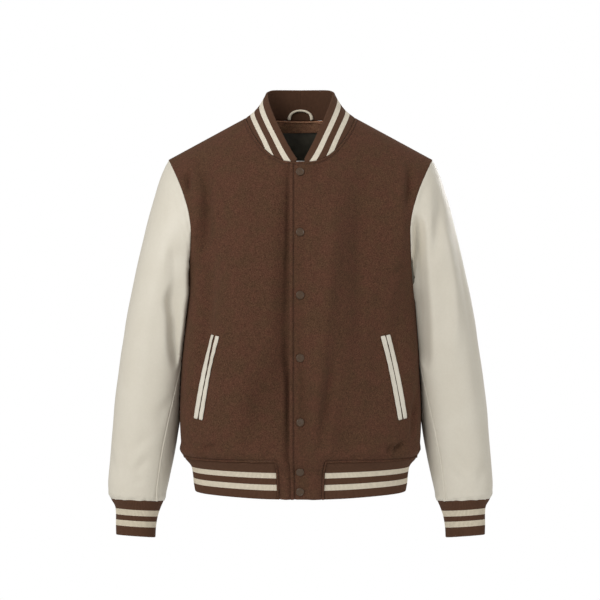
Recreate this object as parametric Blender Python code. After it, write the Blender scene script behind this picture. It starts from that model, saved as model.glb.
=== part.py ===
"""A varsity jacket, filled out as worn, with nobody in it.

Metres, +Z up. The front faces -Y and the wearer's left is at +X. The origin lies on the centre plane,
level with the points where the shoulder seams meet the collar.
"""
import math
from collections import namedtuple

import bpy
from mathutils import Vector
from mathutils.bvhtree import BVHTree

# Cloth
WOOL = 0.0022
LEATHER = 0.0016
RIB_KNIT = 0.0028
LINING = 0.0010
SEAM_PULL = 0.00015         # each edge stands back this far, so two pieces lie 0.3 mm apart
COLLAR_PULL = 0.0003        # more round the neck, where the seam bends in every direction
LAID_ON = 0.0004            # clearance under what lies on a panel
SHARP_FOLD = 0.1            # pieces whose directions differ more than this keep their own

# Shoulders and neck
NECK_X = 0.0975             # where the shoulder seam meets the collar
TIP_X = 0.235               # where the shoulder seam meets the sleeve
TIP_DROP = 0.0746
SHOULDER_SLOPE = TIP_DROP / (TIP_X - NECK_X)
NECK_ROUNDING = 0.040
FRONT_RISE = 0.33           # height over which the chest comes forward from the shoulder
FRONT_RISE_AT_TIP = 0.19
BACK_RISE = 0.16
FRONT_RISE_POWER = 1.6
BACK_RISE_POWER = 2.0
SECTION_POWER = 2.5         # 2 is an ellipse, more is squarer

# Front opening
LAP = 0.019                 # each front runs this far past the centre line
LAP_LIFT = 0.0032           # the left front lies over the right one
LAP_FADE = (0.024, 0.075)
TAB_HALF = 0.045            # half the wool tab between the ends of the hem rib
HEM_SEAM_Z = -0.602
RIB_LEVELS = (-0.6660, -0.6340, -0.6050, HEM_SEAM_Z)
UNDERARM_Z = -0.306

# Grid counts
TAB_COLUMNS = 2
FRONT_COLUMNS = 9
SIDE_ROWS = 12
ARMHOLE_ROWS = 12
NECK_ROWS = 7
BACK_NECK_COLUMNS = 8
BACK_SHOULDER_COLUMNS = 5
SLEEVE_COLUMNS = 2 * ARMHOLE_ROWS
FRONT_SEAM_COLUMN = 10
BACK_SEAM_COLUMN = 16
CURVE_STEPS = 12            # per stretch of a seam line, before it is cut into equal lengths

# Ribs are raised coarser than knitted, and flush at the seams
RIB_HEIGHT = 0.0009
COLLAR_RIBS_PER_CELL = 3
HEM_RIBS_PER_CELL = 4
CUFF_RIBS_PER_CELL = 1

SNAP_RADIUS = 0.0072
SNAP_HEIGHT = 0.0030
SNAP_SIDES = 16
SNAP_PROFILE = ((1.0, 0.0), (1.0, 0.45), (0.86, 0.85), (0.45, 1.0))     # shares of radius and height
SNAP_X = -0.0009
SNAP_HEIGHTS = (-0.1036, -0.2084, -0.3155, -0.4226, -0.5319, -0.6176, -0.6523)

BodySection = namedtuple("BodySection", "z half_width front back")
BODY_SECTIONS = (
    BodySection(-0.6660, 0.1870, 0.1130, 0.1090),
    BodySection(-0.6500, 0.1895, 0.1145, 0.1105),
    BodySection(-0.6330, 0.1910, 0.1160, 0.1120),
    BodySection(-0.6170, 0.1945, 0.1190, 0.1150),
    BodySection(-0.6020, 0.2060, 0.1270, 0.1230),
    BodySection(-0.5840, 0.2115, 0.1320, 0.1280),
    BodySection(-0.5450, 0.2140, 0.1350, 0.1300),
    BodySection(-0.5000, 0.2135, 0.1355, 0.1290),
    BodySection(-0.4300, 0.2110, 0.1355, 0.1270),
    BodySection(-0.3600, 0.2055, 0.1360, 0.1260),
    BodySection(-0.3060, 0.2035, 0.1360, 0.1270),
    BodySection(-0.2620, 0.2055, 0.1360, 0.1280),
    BodySection(-0.2320, 0.2120, 0.1360, 0.1290),
    BodySection(-0.2040, 0.2220, 0.1355, 0.1300),
    BodySection(-0.1780, 0.2320, 0.1350, 0.1300),
    BodySection(-0.1490, 0.2430, 0.1350, 0.1300),
    BodySection(-0.1200, 0.2520, 0.1350, 0.1290),
    BodySection(-0.0930, 0.2600, 0.1350, 0.1280),
    BodySection(0.0600, 0.2700, 0.1350, 0.1280),
)

SeamPoint = namedtuple("SeamPoint", "x z")
FRONT_NECKLINE = (
    SeamPoint(0.0000, -0.0888),
    SeamPoint(0.0186, -0.0878),
    SeamPoint(0.0350, -0.0830),
    SeamPoint(0.0530, -0.0720),
    SeamPoint(0.0735, -0.0537),
    SeamPoint(0.0900, -0.0265),
    SeamPoint(NECK_X, 0.0000),
)
BACK_NECKLINE = (
    SeamPoint(0.0000, 0.0030),
    SeamPoint(0.0450, 0.0030),
    SeamPoint(0.0800, 0.0022),
    SeamPoint(NECK_X, 0.0000),
)
FRONT_ARMHOLE = (
    SeamPoint(0.2035, UNDERARM_Z),
    SeamPoint(0.1990, -0.2870),
    SeamPoint(0.1945, -0.2620),
    SeamPoint(0.1915, -0.2320),
    SeamPoint(0.1905, -0.2040),
    SeamPoint(0.1935, -0.1780),
    SeamPoint(0.2010, -0.1490),
    SeamPoint(0.2120, -0.1200),
    SeamPoint(0.2250, -0.0930),
    SeamPoint(TIP_X, -TIP_DROP),
)
BACK_ARMHOLE = (
    SeamPoint(0.2035, UNDERARM_Z),
    SeamPoint(0.2035, -0.2700),
    SeamPoint(0.2050, -0.2300),
    SeamPoint(0.2080, -0.1950),
    SeamPoint(0.2130, -0.1600),
    SeamPoint(0.2200, -0.1250),
    SeamPoint(0.2280, -0.0950),
    SeamPoint(TIP_X, -TIP_DROP),
)

CollarStation = namedtuple("CollarStation", "along x y z")
COLLAR_FREE_EDGE = (                     # along: 0 at the front end, 1 at the centre back
    CollarStation(0.00, 0.0065, -0.0885, -0.0822),
    CollarStation(0.13, 0.0160, -0.0805, -0.0640),
    CollarStation(0.27, 0.0270, -0.0705, -0.0430),
    CollarStation(0.40, 0.0420, -0.0530, -0.0120),
    CollarStation(0.52, 0.0540, -0.0240, 0.0200),
    CollarStation(0.64, 0.0585, 0.0100, 0.0430),
    CollarStation(0.76, 0.0500, 0.0380, 0.0535),
    CollarStation(0.88, 0.0280, 0.0560, 0.0565),
    CollarStation(1.00, 0.0000, 0.0620, 0.0570),
)
COLLAR_ROWS = (0.0, 0.08, 0.30, 0.53, 0.77, 1.0)
FULL_RIB_WIDTH = 0.035      # where the knit is narrower than this its ribs are lower
COLLAR_BULGE = 0.0035       # it rounds outward by this much, less where it is narrow
COLLAR_FULL_WIDTH = 0.050
COLLAR_OUT_Z = 0.030        # its bulge points outward from the neck and a little up
COLLAR_END = 0.0090         # half the gap between its two ends, at the seam

SleeveRing = namedtuple("SleeveRing", "outer_x outer_z inner_x inner_z mid_y half_depth front_seam back_seam")
SLEEVE_RINGS = (
    SleeveRing(0.2350, -0.0746, 0.2035, -0.3060, -0.003, 0.070, 150, 240),
    SleeveRing(0.2470, -0.0990, 0.2053, -0.3120, 0.000, 0.075, 151, 239),
    SleeveRing(0.2600, -0.1400, 0.2060, -0.3180, 0.003, 0.079, 152, 238),
    SleeveRing(0.2740, -0.1920, 0.2064, -0.3270, 0.006, 0.082, 153, 237),
    SleeveRing(0.2870, -0.2450, 0.2072, -0.3420, 0.009, 0.083, 154, 236),
    SleeveRing(0.2990, -0.3000, 0.2090, -0.3650, 0.010, 0.083, 155, 235),
    SleeveRing(0.3110, -0.3630, 0.2130, -0.4000, 0.011, 0.080, 154, 234),
    SleeveRing(0.3220, -0.4330, 0.2158, -0.4480, 0.011, 0.076, 150, 233),
    SleeveRing(0.3305, -0.5020, 0.2170, -0.5050, 0.008, 0.070, 145, 232),
    SleeveRing(0.3350, -0.5550, 0.2180, -0.5550, 0.004, 0.064, 140, 231),
    SleeveRing(0.3390, -0.6080, 0.2250, -0.6050, 0.000, 0.058, 134, 230),
    SleeveRing(0.3412, -0.6470, 0.2335, -0.6450, -0.004, 0.053, 130, 230),
    SleeveRing(0.3402, -0.6640, 0.2380, -0.6650, -0.006, 0.050, 128, 230),
    SleeveRing(0.3387, -0.6730, 0.2402, -0.6760, -0.007, 0.048, 127, 230),
    SleeveRing(0.3350, -0.6795, 0.2428, -0.6835, -0.007, 0.046, 127, 230),
)
ARMHOLE_BLEND = (1.0, 0.62, 0.34, 0.14, 0.04)
SLEEVE_POWER = 2.15

CuffRing = namedtuple("CuffRing", "outer_x outer_z inner_x inner_z mid_y half_depth")
CUFF_RINGS = (
    CuffRing(0.3350, -0.6795, 0.2428, -0.6835, -0.007, 0.0460),
    CuffRing(0.3332, -0.6830, 0.2450, -0.6872, -0.007, 0.0445),
    CuffRing(0.3290, -0.6930, 0.2495, -0.6985, -0.007, 0.0400),
    CuffRing(0.3274, -0.7060, 0.2537, -0.7115, -0.007, 0.0365),
    CuffRing(0.3274, -0.7250, 0.2568, -0.7300, -0.008, 0.0340),
    CuffRing(0.3270, -0.7440, 0.2578, -0.7480, -0.008, 0.0325),
)

# Creases: a soft trough or ridge between two places on a face. Depth is positive for a ridge.
Fold = namedtuple("Fold", "face side x0 z0 x1 z1 width depth")
BODY_FOLDS = (
    Fold(-1, -1, 0.171, -0.120, 0.169, -0.235, 0.018, -0.0050),
    Fold(-1, 1, 0.173, -0.115, 0.170, -0.230, 0.018, -0.0050),
    Fold(-1, -1, 0.140, -0.585, 0.172, -0.535, 0.018, -0.0045),
    Fold(-1, 1, 0.142, -0.585, 0.174, -0.535, 0.018, -0.0045),
    Fold(1, -1, 0.175, -0.130, 0.150, -0.260, 0.020, -0.0055),
    Fold(1, 1, 0.175, -0.130, 0.150, -0.260, 0.020, -0.0055),
)
SleeveFold = namedtuple("SleeveFold", "degrees0 ring0 degrees1 ring1 width depth")
SLEEVE_FOLDS = (
    SleeveFold(124, 4.6, 122, 7.8, 13, -0.0055),
    SleeveFold(76, 3.6, 108, 5.6, 14, -0.0040),
    SleeveFold(70, 9.8, 112, 11.2, 14, -0.0040),
    SleeveFold(295, 5.6, 250, 7.6, 15, -0.0055),
    SleeveFold(300, 7.8, 262, 9.4, 15, -0.0045),
)

Welt = namedtuple("Welt", "top_x top_z low_x low_z")
WELT = Welt(0.1460, -0.3850, 0.1760, -0.5300)
WELT_WIDTH = 0.0082
WELT_GAP = 0.0012
WELT_THICK = 0.0018
WELT_STEPS = 12
WELT_LIFT = 0.0012
WELT_BOW = 0.0022           # the pocket's middle bows outward by this much

LOOP_HALF = 0.0205
LOOP_FOOT_Z = 0.0048
LOOP_TOP_Z = 0.0226
LOOP_RADIUS = 0.0022
LOOP_STEPS = 12
FACING_DEPTH_ROWS = 2
FACING_LOW_EDGE = 0.5       # how far its lowest row is moved up to the next
LINING_ROWS = 5


def smooth_step(value, low, high):
    """0 below low, 1 above high, and a soft curve between."""
    share = min(1.0, max(0.0, (value - low) / (high - low)))
    return share * share * (3.0 - 2.0 * share)


def read_row(rows, key, at):
    """All the columns of a table, read between its rows by a smooth curve."""
    keys = [getattr(row, key) for row in rows]
    last = len(rows) - 1
    at = min(max(at, keys[0]), keys[last])
    index = 0
    while index < last - 1 and at > keys[index + 1]:
        index += 1
    span = keys[index + 1] - keys[index]
    share = (at - keys[index]) / span
    values = []
    for column in range(len(rows[0])):
        low = rows[index][column]
        high = rows[index + 1][column]
        before = rows[max(index - 1, 0)][column]
        after = rows[min(index + 2, last)][column]
        low_slope = (high - before) / (keys[index + 1] - keys[max(index - 1, 0)]) * span
        high_slope = (after - low) / (keys[min(index + 2, last)] - keys[index]) * span
        square = share * share
        cube = square * share
        values.append(low * (2 * cube - 3 * square + 1) + low_slope * (cube - 2 * square + share)
                      + high * (3 * square - 2 * cube) + high_slope * (cube - square))
    return type(rows[0])(*values)


def even_points(points, count, face):
    """A smooth seam line through places on one face of the body, cut into equal lengths."""
    fine = []
    last = len(points) - 1
    for index in range(last):
        before = points[max(index - 1, 0)]
        low = points[index]
        high = points[index + 1]
        after = points[min(index + 2, last)]
        for step in range(CURVE_STEPS):
            t = step / CURVE_STEPS
            fine.append(tuple(0.5 * (2 * b + (c - a) * t + (2 * a - 5 * b + 4 * c - d) * t * t
                                     + (3 * b - a - 3 * c + d) * t ** 3)
                              for a, b, c, d in zip(before, low, high, after)))
    fine.append(tuple(points[last]))
    lengths = [0.0]
    lifted = [(x, face * section_depth(x, z, face) * shoulder_share(x, z, face), z) for x, z in fine]
    for one, two in zip(lifted, lifted[1:]):
        lengths.append(lengths[-1] + math.dist(one, two))
    result = []
    at = 0
    for step in range(count + 1):
        target = lengths[-1] * step / count
        while at < len(fine) - 2 and lengths[at + 1] < target:
            at += 1
        share = (target - lengths[at]) / (lengths[at + 1] - lengths[at])
        result.append(tuple(a + (b - a) * share for a, b in zip(fine[at], fine[at + 1])))
    return result


# ---- the body's surface ----

def shoulder_height(x):
    """Height of the shoulder line above a place across the body."""
    reach = abs(x)
    if reach >= NECK_X:
        return -SHOULDER_SLOPE * (reach - NECK_X)
    rounded = math.sqrt(NECK_X ** 2 + NECK_ROUNDING ** 2) - math.sqrt(reach ** 2 + NECK_ROUNDING ** 2)
    return SHOULDER_SLOPE * rounded


def shoulder_share(x, z, face):
    """How far the face has come out from the shoulder line at this height."""
    outer = smooth_step(abs(x), NECK_X, TIP_X)
    rise = FRONT_RISE + (FRONT_RISE_AT_TIP - FRONT_RISE) * outer if face < 0 else BACK_RISE
    power = FRONT_RISE_POWER if face < 0 else BACK_RISE_POWER
    depth = min(1.0, max(0.0, (shoulder_height(x) - z) / rise))
    return (1.0 - (1.0 - depth) ** power) ** (1.0 / power)


def section_depth(x, z, face):
    section = read_row(BODY_SECTIONS, "z", z)
    reach = min(1.0, abs(x) / section.half_width)
    depth = section.front if face < 0 else section.back
    return depth * (1.0 - reach ** SECTION_POWER) ** (1.0 / SECTION_POWER)


def angle_at(x, z, face):
    """The direction, seen from above, of a place on the section."""
    return math.atan2(x, section_depth(x, z, face))


def body_point(angle, z, face):
    """A place on the front (face -1) or back (face 1), by its direction and height."""
    section = read_row(BODY_SECTIONS, "z", z)
    depth = section.front if face < 0 else section.back
    across = abs(math.sin(angle) / section.half_width) ** SECTION_POWER
    along = abs(math.cos(angle) / depth) ** SECTION_POWER
    radius = (across + along) ** (-1.0 / SECTION_POWER)
    x = radius * math.sin(angle)
    y = face * radius * abs(math.cos(angle)) * shoulder_share(x, z, face)
    if abs(angle) > math.pi / 2 - 1e-9:
        y = 0.0
    return Vector((x, y, z))


def fold_push(point, face):
    """How far the creases move this place outward."""
    push = 0.0
    side = -1 if point.x < 0 else 1
    for fold in BODY_FOLDS:
        if fold.face != face or fold.side != side:
            continue
        ax, az = fold.side * fold.x0, fold.z0
        bx, bz = fold.side * fold.x1, fold.z1
        length = (bx - ax) ** 2 + (bz - az) ** 2
        share = ((point.x - ax) * (bx - ax) + (point.z - az) * (bz - az)) / length
        share = min(1.0, max(0.0, share))
        away = math.hypot(point.x - ax - share * (bx - ax), point.z - az - share * (bz - az))
        push += fold.depth * math.exp(-(away / fold.width) ** 2) * math.sin(math.pi * (0.15 + 0.7 * share))
    return push


def coons(left, right, bottom, top, across):
    """Fills a patch between four borders. The bottom has its own spacing, from across."""
    rows = len(left) - 1
    columns = len(bottom) - 1
    grid = []
    for j in range(rows + 1):
        v = j / rows
        row = []
        for i in range(columns + 1):
            u = across[i] * (1.0 - v) + (i / columns) * v
            value = []
            for k in (0, 1):
                ruled = (1 - u) * left[j][k] + u * right[j][k] + (1 - v) * bottom[i][k] + v * top[i][k]
                corners = ((1 - u) * (1 - v) * left[0][k] + u * (1 - v) * right[0][k]
                           + (1 - u) * v * left[rows][k] + u * v * right[rows][k])
                value.append(ruled - corners)
            row.append(value)
        grid.append(row)
    for j in range(rows + 1):
        grid[j][0] = list(left[j])
        grid[j][columns] = list(right[j])
    return grid


def heights_between(low, high, count):
    return [low + (high - low) * step / count for step in range(count + 1)]


def side_border(face, side, armhole):
    """From the hem seam up the side seam and the armhole, as angle and height."""
    border = []
    for z in heights_between(HEM_SEAM_Z, UNDERARM_Z, SIDE_ROWS):
        border.append((side * math.pi / 2, z))
    for x, z in even_points(armhole, ARMHOLE_ROWS, face)[1:]:
        border.append((side * angle_at(x, z, face), z))
    border[-1] = (side * angle_at(TIP_X, -TIP_DROP, face), -TIP_DROP)
    return border


def shoulder_border(face, side, columns):
    border = []
    for step in range(columns + 1):
        x = NECK_X + (TIP_X - NECK_X) * step / columns
        border.append((side * angle_at(x, shoulder_height(x), face), shoulder_height(x)))
    return border


def front_panel(side):
    """The grid of one front, rows upward from the hem and columns outward from the centre."""
    start = -LAP
    heights = heights_between(HEM_SEAM_Z, UNDERARM_Z, SIDE_ROWS)
    heights += heights_between(UNDERARM_Z, FRONT_NECKLINE[0].z, ARMHOLE_ROWS - NECK_ROWS)[1:]
    left = [(side * angle_at(start, z, -1), z) for z in heights]
    for x, z in even_points(FRONT_NECKLINE, NECK_ROWS - 1, -1):
        left.append((side * angle_at(x, z, -1), z))
    right = side_border(-1, side, FRONT_ARMHOLE)
    first = angle_at(start, HEM_SEAM_Z, -1)
    tab = angle_at(TAB_HALF, HEM_SEAM_Z, -1)
    angles = [first + (tab - first) * i / TAB_COLUMNS for i in range(TAB_COLUMNS)]
    rest = FRONT_COLUMNS - TAB_COLUMNS
    angles += [tab + (math.pi / 2 - tab) * i / rest for i in range(rest + 1)]
    bottom = [(side * angle, HEM_SEAM_Z) for angle in angles]
    across = [(angle - first) / (math.pi / 2 - first) for angle in angles]
    top = shoulder_border(-1, side, FRONT_COLUMNS)
    rows = coons(left, right, bottom, top, across)
    points = []
    for z in RIB_LEVELS[:-1]:
        points.append([body_point(side * angle, z, -1) for angle in angles])
    for row in rows:
        points.append([body_point(angle, z, -1) for angle, z in row])
    return points


def lap_lift(x):
    """How far the upper front is raised near the centre, to lie over the lower one."""
    return LAP_LIFT * (1 - smooth_step(abs(x), *LAP_FADE))


def back_panel():
    """The grid of the back, rows upward and columns from the wearer's right to left."""
    right = side_border(1, 1, BACK_ARMHOLE)
    left = [(-angle, z) for angle, z in right]
    columns = 2 * BACK_SHOULDER_COLUMNS + BACK_NECK_COLUMNS
    bottom = [(-math.pi / 2 + math.pi * i / columns, HEM_SEAM_Z) for i in range(columns + 1)]
    shoulder = shoulder_border(1, 1, BACK_SHOULDER_COLUMNS)
    half = even_points(BACK_NECKLINE, BACK_NECK_COLUMNS // 2, 1)
    neck = [(angle_at(x, z, 1), z) for x, z in half]
    top = [(-angle, z) for angle, z in reversed(shoulder)]
    top += [(-angle, z) for angle, z in reversed(neck[:-1])]
    top += neck[1:-1]
    top += shoulder
    across = [i / columns for i in range(columns + 1)]
    rows = coons(left, right, bottom, top, across)
    rows[-1] = [list(place) for place in top]
    points = []
    for row in rows:
        points.append([body_point(angle, z, 1) for angle, z in row])
    return points


# ---- sleeves and cuffs ----

def ring_points(ring, side, angles, power):
    """One tilted ring. Angle 0 is its outer point, 90 its front, 180 its inner point."""
    middle = Vector(((ring.outer_x + ring.inner_x) / 2, ring.mid_y, (ring.outer_z + ring.inner_z) / 2))
    out = Vector(((ring.outer_x - ring.inner_x) / 2, 0.0, (ring.outer_z - ring.inner_z) / 2))
    points = []
    for degrees in angles:
        cosine = math.cos(math.radians(degrees))
        sine = math.sin(math.radians(degrees))
        radius = (abs(cosine) ** power + abs(sine) ** power) ** (-1.0 / power)
        point = middle + out * (radius * cosine)
        point.y -= ring.half_depth * radius * sine
        point.x *= side
        points.append(point)
    return points


def ring_angles(front_seam, back_seam):
    """Degrees of the columns, so that two of them follow the sleeve's seams."""
    marks = ((0, 0.0), (FRONT_SEAM_COLUMN, front_seam), (ARMHOLE_ROWS, 180.0),
             (BACK_SEAM_COLUMN, back_seam), (SLEEVE_COLUMNS, 360.0))
    angles = []
    for (low, low_angle), (high, high_angle) in zip(marks, marks[1:]):
        for column in range(low, high):
            angles.append(low_angle + (high_angle - low_angle) * (column - low) / (high - low))
    return angles


def sleeve_push(degrees, level):
    push = 0.0
    for fold in SLEEVE_FOLDS:
        share = (level - fold.ring0) / (fold.ring1 - fold.ring0)
        if -0.25 < share < 1.25:
            middle = fold.degrees0 + (fold.degrees1 - fold.degrees0) * share
            fade = math.sin(math.pi * (share + 0.25) / 1.5)
            push += fold.depth * fade * math.exp(-((degrees - middle) / fold.width) ** 2)
    return push


def sleeve_rings(side, armhole):
    """Rows from the armhole down to the cuff, each all the way round."""
    first = SLEEVE_RINGS[0]
    base = ring_points(first, side, ring_angles(first.front_seam, first.back_seam), SLEEVE_POWER)
    rings = []
    for level, ring in enumerate(SLEEVE_RINGS):
        angles = ring_angles(ring.front_seam, ring.back_seam)
        points = ring_points(ring, side, angles, SLEEVE_POWER)
        middle = sum(points, Vector()) / len(points)
        for column, point in enumerate(points):
            if level < len(ARMHOLE_BLEND):
                point += (armhole[column] - base[column]) * ARMHOLE_BLEND[level]
            seam = column in (FRONT_SEAM_COLUMN, BACK_SEAM_COLUMN)
            if not seam and 0 < level < len(SLEEVE_RINGS) - 1:
                point += (point - middle).normalized() * sleeve_push(angles[column], level)
        rings.append(points)
    return rings


def cuff_points(side, sleeve_end):
    last = SLEEVE_RINGS[-1]
    angles = ring_angles(last.front_seam, last.back_seam)
    rings = [[point.copy() for point in sleeve_end]]
    for ring in CUFF_RINGS[1:]:
        rings.append(ring_points(ring, side, angles, SLEEVE_POWER))
    return rings


# ---- from grids to solids ----

def make_cloth(name, points, thickness, material, closed=False, cells=None, ribs=0, flat_rows=(),
               pull=SEAM_PULL):
    """What one piece of cloth needs before its wall is made."""
    rows = len(points) - 1
    columns = len(points[0]) - (0 if closed else 1)
    if cells is None:
        cells = {(j, i) for j in range(rows) for i in range(columns)}
    return {"name": name, "points": points, "thickness": thickness, "material": material,
            "closed": closed, "cells": cells, "ribs": ribs, "flat_rows": flat_rows, "pull": pull}


def neighbour(cloth, j, i, dj, di):
    """The next point of the grid in a direction, if a cell of the piece reaches it."""
    points = cloth["points"]
    width = len(points[0])
    if cloth["closed"]:
        target = (j + dj, (i + di) % width)
    else:
        target = (j + dj, i + di)
    if not (0 <= target[0] < len(points) and 0 <= target[1] < width):
        return None
    for cell_j in ((min(j, target[0]),) if dj else (j - 1, j)):
        for cell_i in ((i if di > 0 else target[1],) if di else (i - 1, i)):
            spot = (cell_j, cell_i % width if cloth["closed"] else cell_i)
            if spot in cloth["cells"]:
                return target
    return None


def used_points(cloth):
    width = len(cloth["points"][0])
    used = set()
    for j, i in cloth["cells"]:
        after = (i + 1) % width if cloth["closed"] else i + 1
        used.update(((j, i), (j, after), (j + 1, i), (j + 1, after)))
    return used


def work_out_normals(cloth, centre_of):
    """Outward directions of the grid's points."""
    points = cloth["points"]
    normals = {}
    tally = 0.0
    for j, i in used_points(cloth):
        steps = []
        for dj, di in ((0, 1), (1, 0)):
            ahead = neighbour(cloth, j, i, dj, di) or (j, i)
            behind = neighbour(cloth, j, i, -dj, -di) or (j, i)
            steps.append(points[ahead[0]][ahead[1]] - points[behind[0]][behind[1]])
        normal = steps[0].cross(steps[1]).normalized()
        normals[(j, i)] = normal
        tally += normal.dot(points[j][i] - centre_of(j, i))
    if tally < 0:
        for place in normals:
            normals[place] = -normals[place]
    cloth["normals"] = normals
    cloth["flipped"] = tally < 0


def pick_diagonals(cloth):
    """For each cell, the diagonal that stands further out, which keeps a rounded form free of dents."""
    width = len(cloth["points"][0])
    cloth["diagonals"] = {}
    for j, i in cloth["cells"]:
        after = (i + 1) % width if cloth["closed"] else i + 1
        corners = [(j, i), (j, after), (j + 1, after), (j + 1, i)]
        a, b, c, d = [cloth["points"][row][column] for row, column in corners]
        outward = sum((cloth["normals"][corner] for corner in corners), Vector())
        cloth["diagonals"][(j, i)] = (b + d - a - c).dot(outward) > 0


def place_key(point):
    return tuple(round(value, 5) for value in point)


def share_normals(cloths):
    """Where pieces meet they take one common direction, unless they fold sharply back on each other."""
    groups = {}
    for cloth in cloths:
        for (j, i), normal in cloth["normals"].items():
            kinds = groups.setdefault(place_key(cloth["points"][j][i]), {})
            kinds[cloth["material"]] = kinds.get(cloth["material"], Vector()) + normal
    for cloth in cloths:
        shared = {}
        for j, i in cloth["normals"]:
            point = cloth["points"][j][i]
            kinds = groups[place_key(point)]
            own = kinds[cloth["material"]].normalized()
            normal = Vector()
            for other in kinds.values():
                if own.dot(other.normalized()) > SHARP_FOLD:
                    normal += other.normalized()
            on_shoulder = abs(point.y) < 1e-7 and abs(point.z - shoulder_height(point.x)) < 1e-6
            if on_shoulder and NECK_X - 1e-6 <= abs(point.x) <= TIP_X + 1e-6:
                side = 1 if point.x > 0 else -1
                normal = Vector((side * SHOULDER_SLOPE, 0, 1))
            shared[(j, i)] = normal.normalized()
        cloth["normals"] = shared


def pull_edges(cloth):
    """Moves each edge back a little, which leaves the gap of a seam."""
    moved = {}
    for j, i in cloth["normals"]:
        point = cloth["points"][j][i]
        shift = Vector()
        for dj, di in ((0, 1), (0, -1), (1, 0), (-1, 0)):
            inward = neighbour(cloth, j, i, dj, di)
            if inward and not neighbour(cloth, j, i, -dj, -di):
                shift += (cloth["points"][inward[0]][inward[1]] - point).normalized() * cloth["pull"]
        moved[(j, i)] = point + shift
    cloth["outer"] = moved
    cloth["inner"] = {place: moved[place] - cloth["normals"][place] * cloth["thickness"] for place in moved}


def wall_mesh(cloth):
    """The closed wall: an outer skin, an inner skin and the edges between them."""
    width = len(cloth["points"][0])
    split = 2 * cloth["ribs"] if cloth["ribs"] else 1
    vertices = []
    faces = []
    index = {}

    def vertex(key, position):
        if key not in index:
            index[key] = len(vertices)
            vertices.append(position)
        return index[key]

    def outer(j, i, step):
        after = (i + 1) % width if cloth["closed"] else i + 1
        if step == split:
            return outer(j, after, 0)
        place = cloth["outer"][(j, i)]
        normal = cloth["normals"][(j, i)]
        if step:
            share = step / split
            place = place.lerp(cloth["outer"][(j, after)], share)
            normal = normal.lerp(cloth["normals"][(j, after)], share)
        if step % 2 and j not in cloth["flat_rows"]:
            near = (cloth["points"][-1][i] - cloth["points"][0][i]).length
            far = (cloth["points"][-1][after] - cloth["points"][0][after]).length
            full = min(1.0, (near + (far - near) * step / split) / FULL_RIB_WIDTH)
            place = place + normal * RIB_HEIGHT * full
        return vertex(("out", j, i, step), place)

    def inner(j, i):
        i = i % width if cloth["closed"] else i
        return vertex(("in", j, i), cloth["inner"][(j, i)])

    def add(*corners):
        faces.append(corners if not cloth["flipped"] else tuple(reversed(corners)))

    cells = cloth["cells"]

    def filled(j, i):
        return (j, i % width if cloth["closed"] else i) in cells

    for j, i in sorted(cells):
        for step in range(split):
            a, b = outer(j, i, step), outer(j, i, step + 1)
            c, d = outer(j + 1, i, step + 1), outer(j + 1, i, step)
            leaning = cloth["diagonals"][(j, i)] if split == 1 else step % 2 == 0
            if leaning:
                add(a, b, d)
                add(b, c, d)
            else:
                add(a, b, c)
                add(a, c, d)
        a, b, c, d = inner(j, i), inner(j, i + 1), inner(j + 1, i + 1), inner(j + 1, i)
        if cloth["diagonals"][(j, i)]:
            add(a, d, b)
            add(b, d, c)
        else:
            add(a, c, b)
            add(a, d, c)
        if not filled(j - 1, i):
            close_edge(add, [outer(j, i, s) for s in range(split + 1)],
                       inner(j, i), inner(j, i + 1), True, j in cloth["flat_rows"])
        if not filled(j + 1, i):
            close_edge(add, [outer(j + 1, i, s) for s in range(split + 1)],
                       inner(j + 1, i), inner(j + 1, i + 1), False, j + 1 in cloth["flat_rows"])
        if not filled(j, i - 1):
            add(outer(j, i, 0), outer(j + 1, i, 0), inner(j + 1, i))
            add(outer(j, i, 0), inner(j + 1, i), inner(j, i))
        if not filled(j, i + 1):
            add(outer(j + 1, i, split), outer(j, i, split), inner(j, i + 1))
            add(outer(j + 1, i, split), inner(j, i + 1), inner(j + 1, i + 1))
    return vertices, faces


def close_edge(add, rim, near, far, lower, straight):
    """Joins a run of outer points to the two inner points under it."""
    middle = len(rim) - 1 if straight else len(rim) // 2
    triangles = [(near, rim[step + 1], rim[step]) for step in range(middle)]
    triangles.append((near, far, rim[middle]))
    triangles += [(far, rim[step + 1], rim[step]) for step in range(middle, len(rim) - 1)]
    for one, two, three in triangles:
        if lower:
            add(one, two, three)
        else:
            add(three, two, one)


Finish = namedtuple("Finish", "colour roughness")
FINISHES = {
    "wool": Finish((0.075, 0.036, 0.023), 0.95),
    "leather": Finish((0.690, 0.650, 0.565), 0.48),
    "rib_knit": Finish((0.070, 0.034, 0.022), 0.92),
    "lining": Finish((0.012, 0.012, 0.010), 0.45),
    "snap": Finish((0.060, 0.030, 0.020), 0.38),
    "cord": Finish((0.700, 0.660, 0.560), 0.80),
}


def material_for(name, finish):
    material = bpy.data.materials.new(name)
    material.use_nodes = True
    shader = material.node_tree.nodes["Principled BSDF"]
    shader.inputs["Base Color"].default_value = (*FINISHES[finish].colour, 1.0)
    shader.inputs["Roughness"].default_value = FINISHES[finish].roughness
    shader.inputs["Metallic"].default_value = 0.0
    return material


def add_object(name, vertices, faces, finish, parent):
    mesh = bpy.data.meshes.new(name)
    mesh.from_pydata([tuple(vertex) for vertex in vertices], [], faces)
    mesh.materials.append(material_for(name, finish))
    mesh.shade_smooth()
    mesh.set_sharp_from_angle(angle=math.radians(50))
    piece = bpy.data.objects.new(name, mesh)
    bpy.context.scene.collection.objects.link(piece)
    piece.parent = parent
    return piece


# ---- small pieces ----

def surface_finder(piece, start_y=-1.0):
    """Reads a place on a piece's skin, looking along Y from start_y."""
    tree = BVHTree.FromPolygons([vertex.co for vertex in piece.data.vertices],
                                [tuple(face.vertices) for face in piece.data.polygons])

    def find(x, z):
        place, normal, _, _ = tree.ray_cast(Vector((x, start_y, z)), Vector((0, 1, 0)))
        return place, normal
    return find


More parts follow.
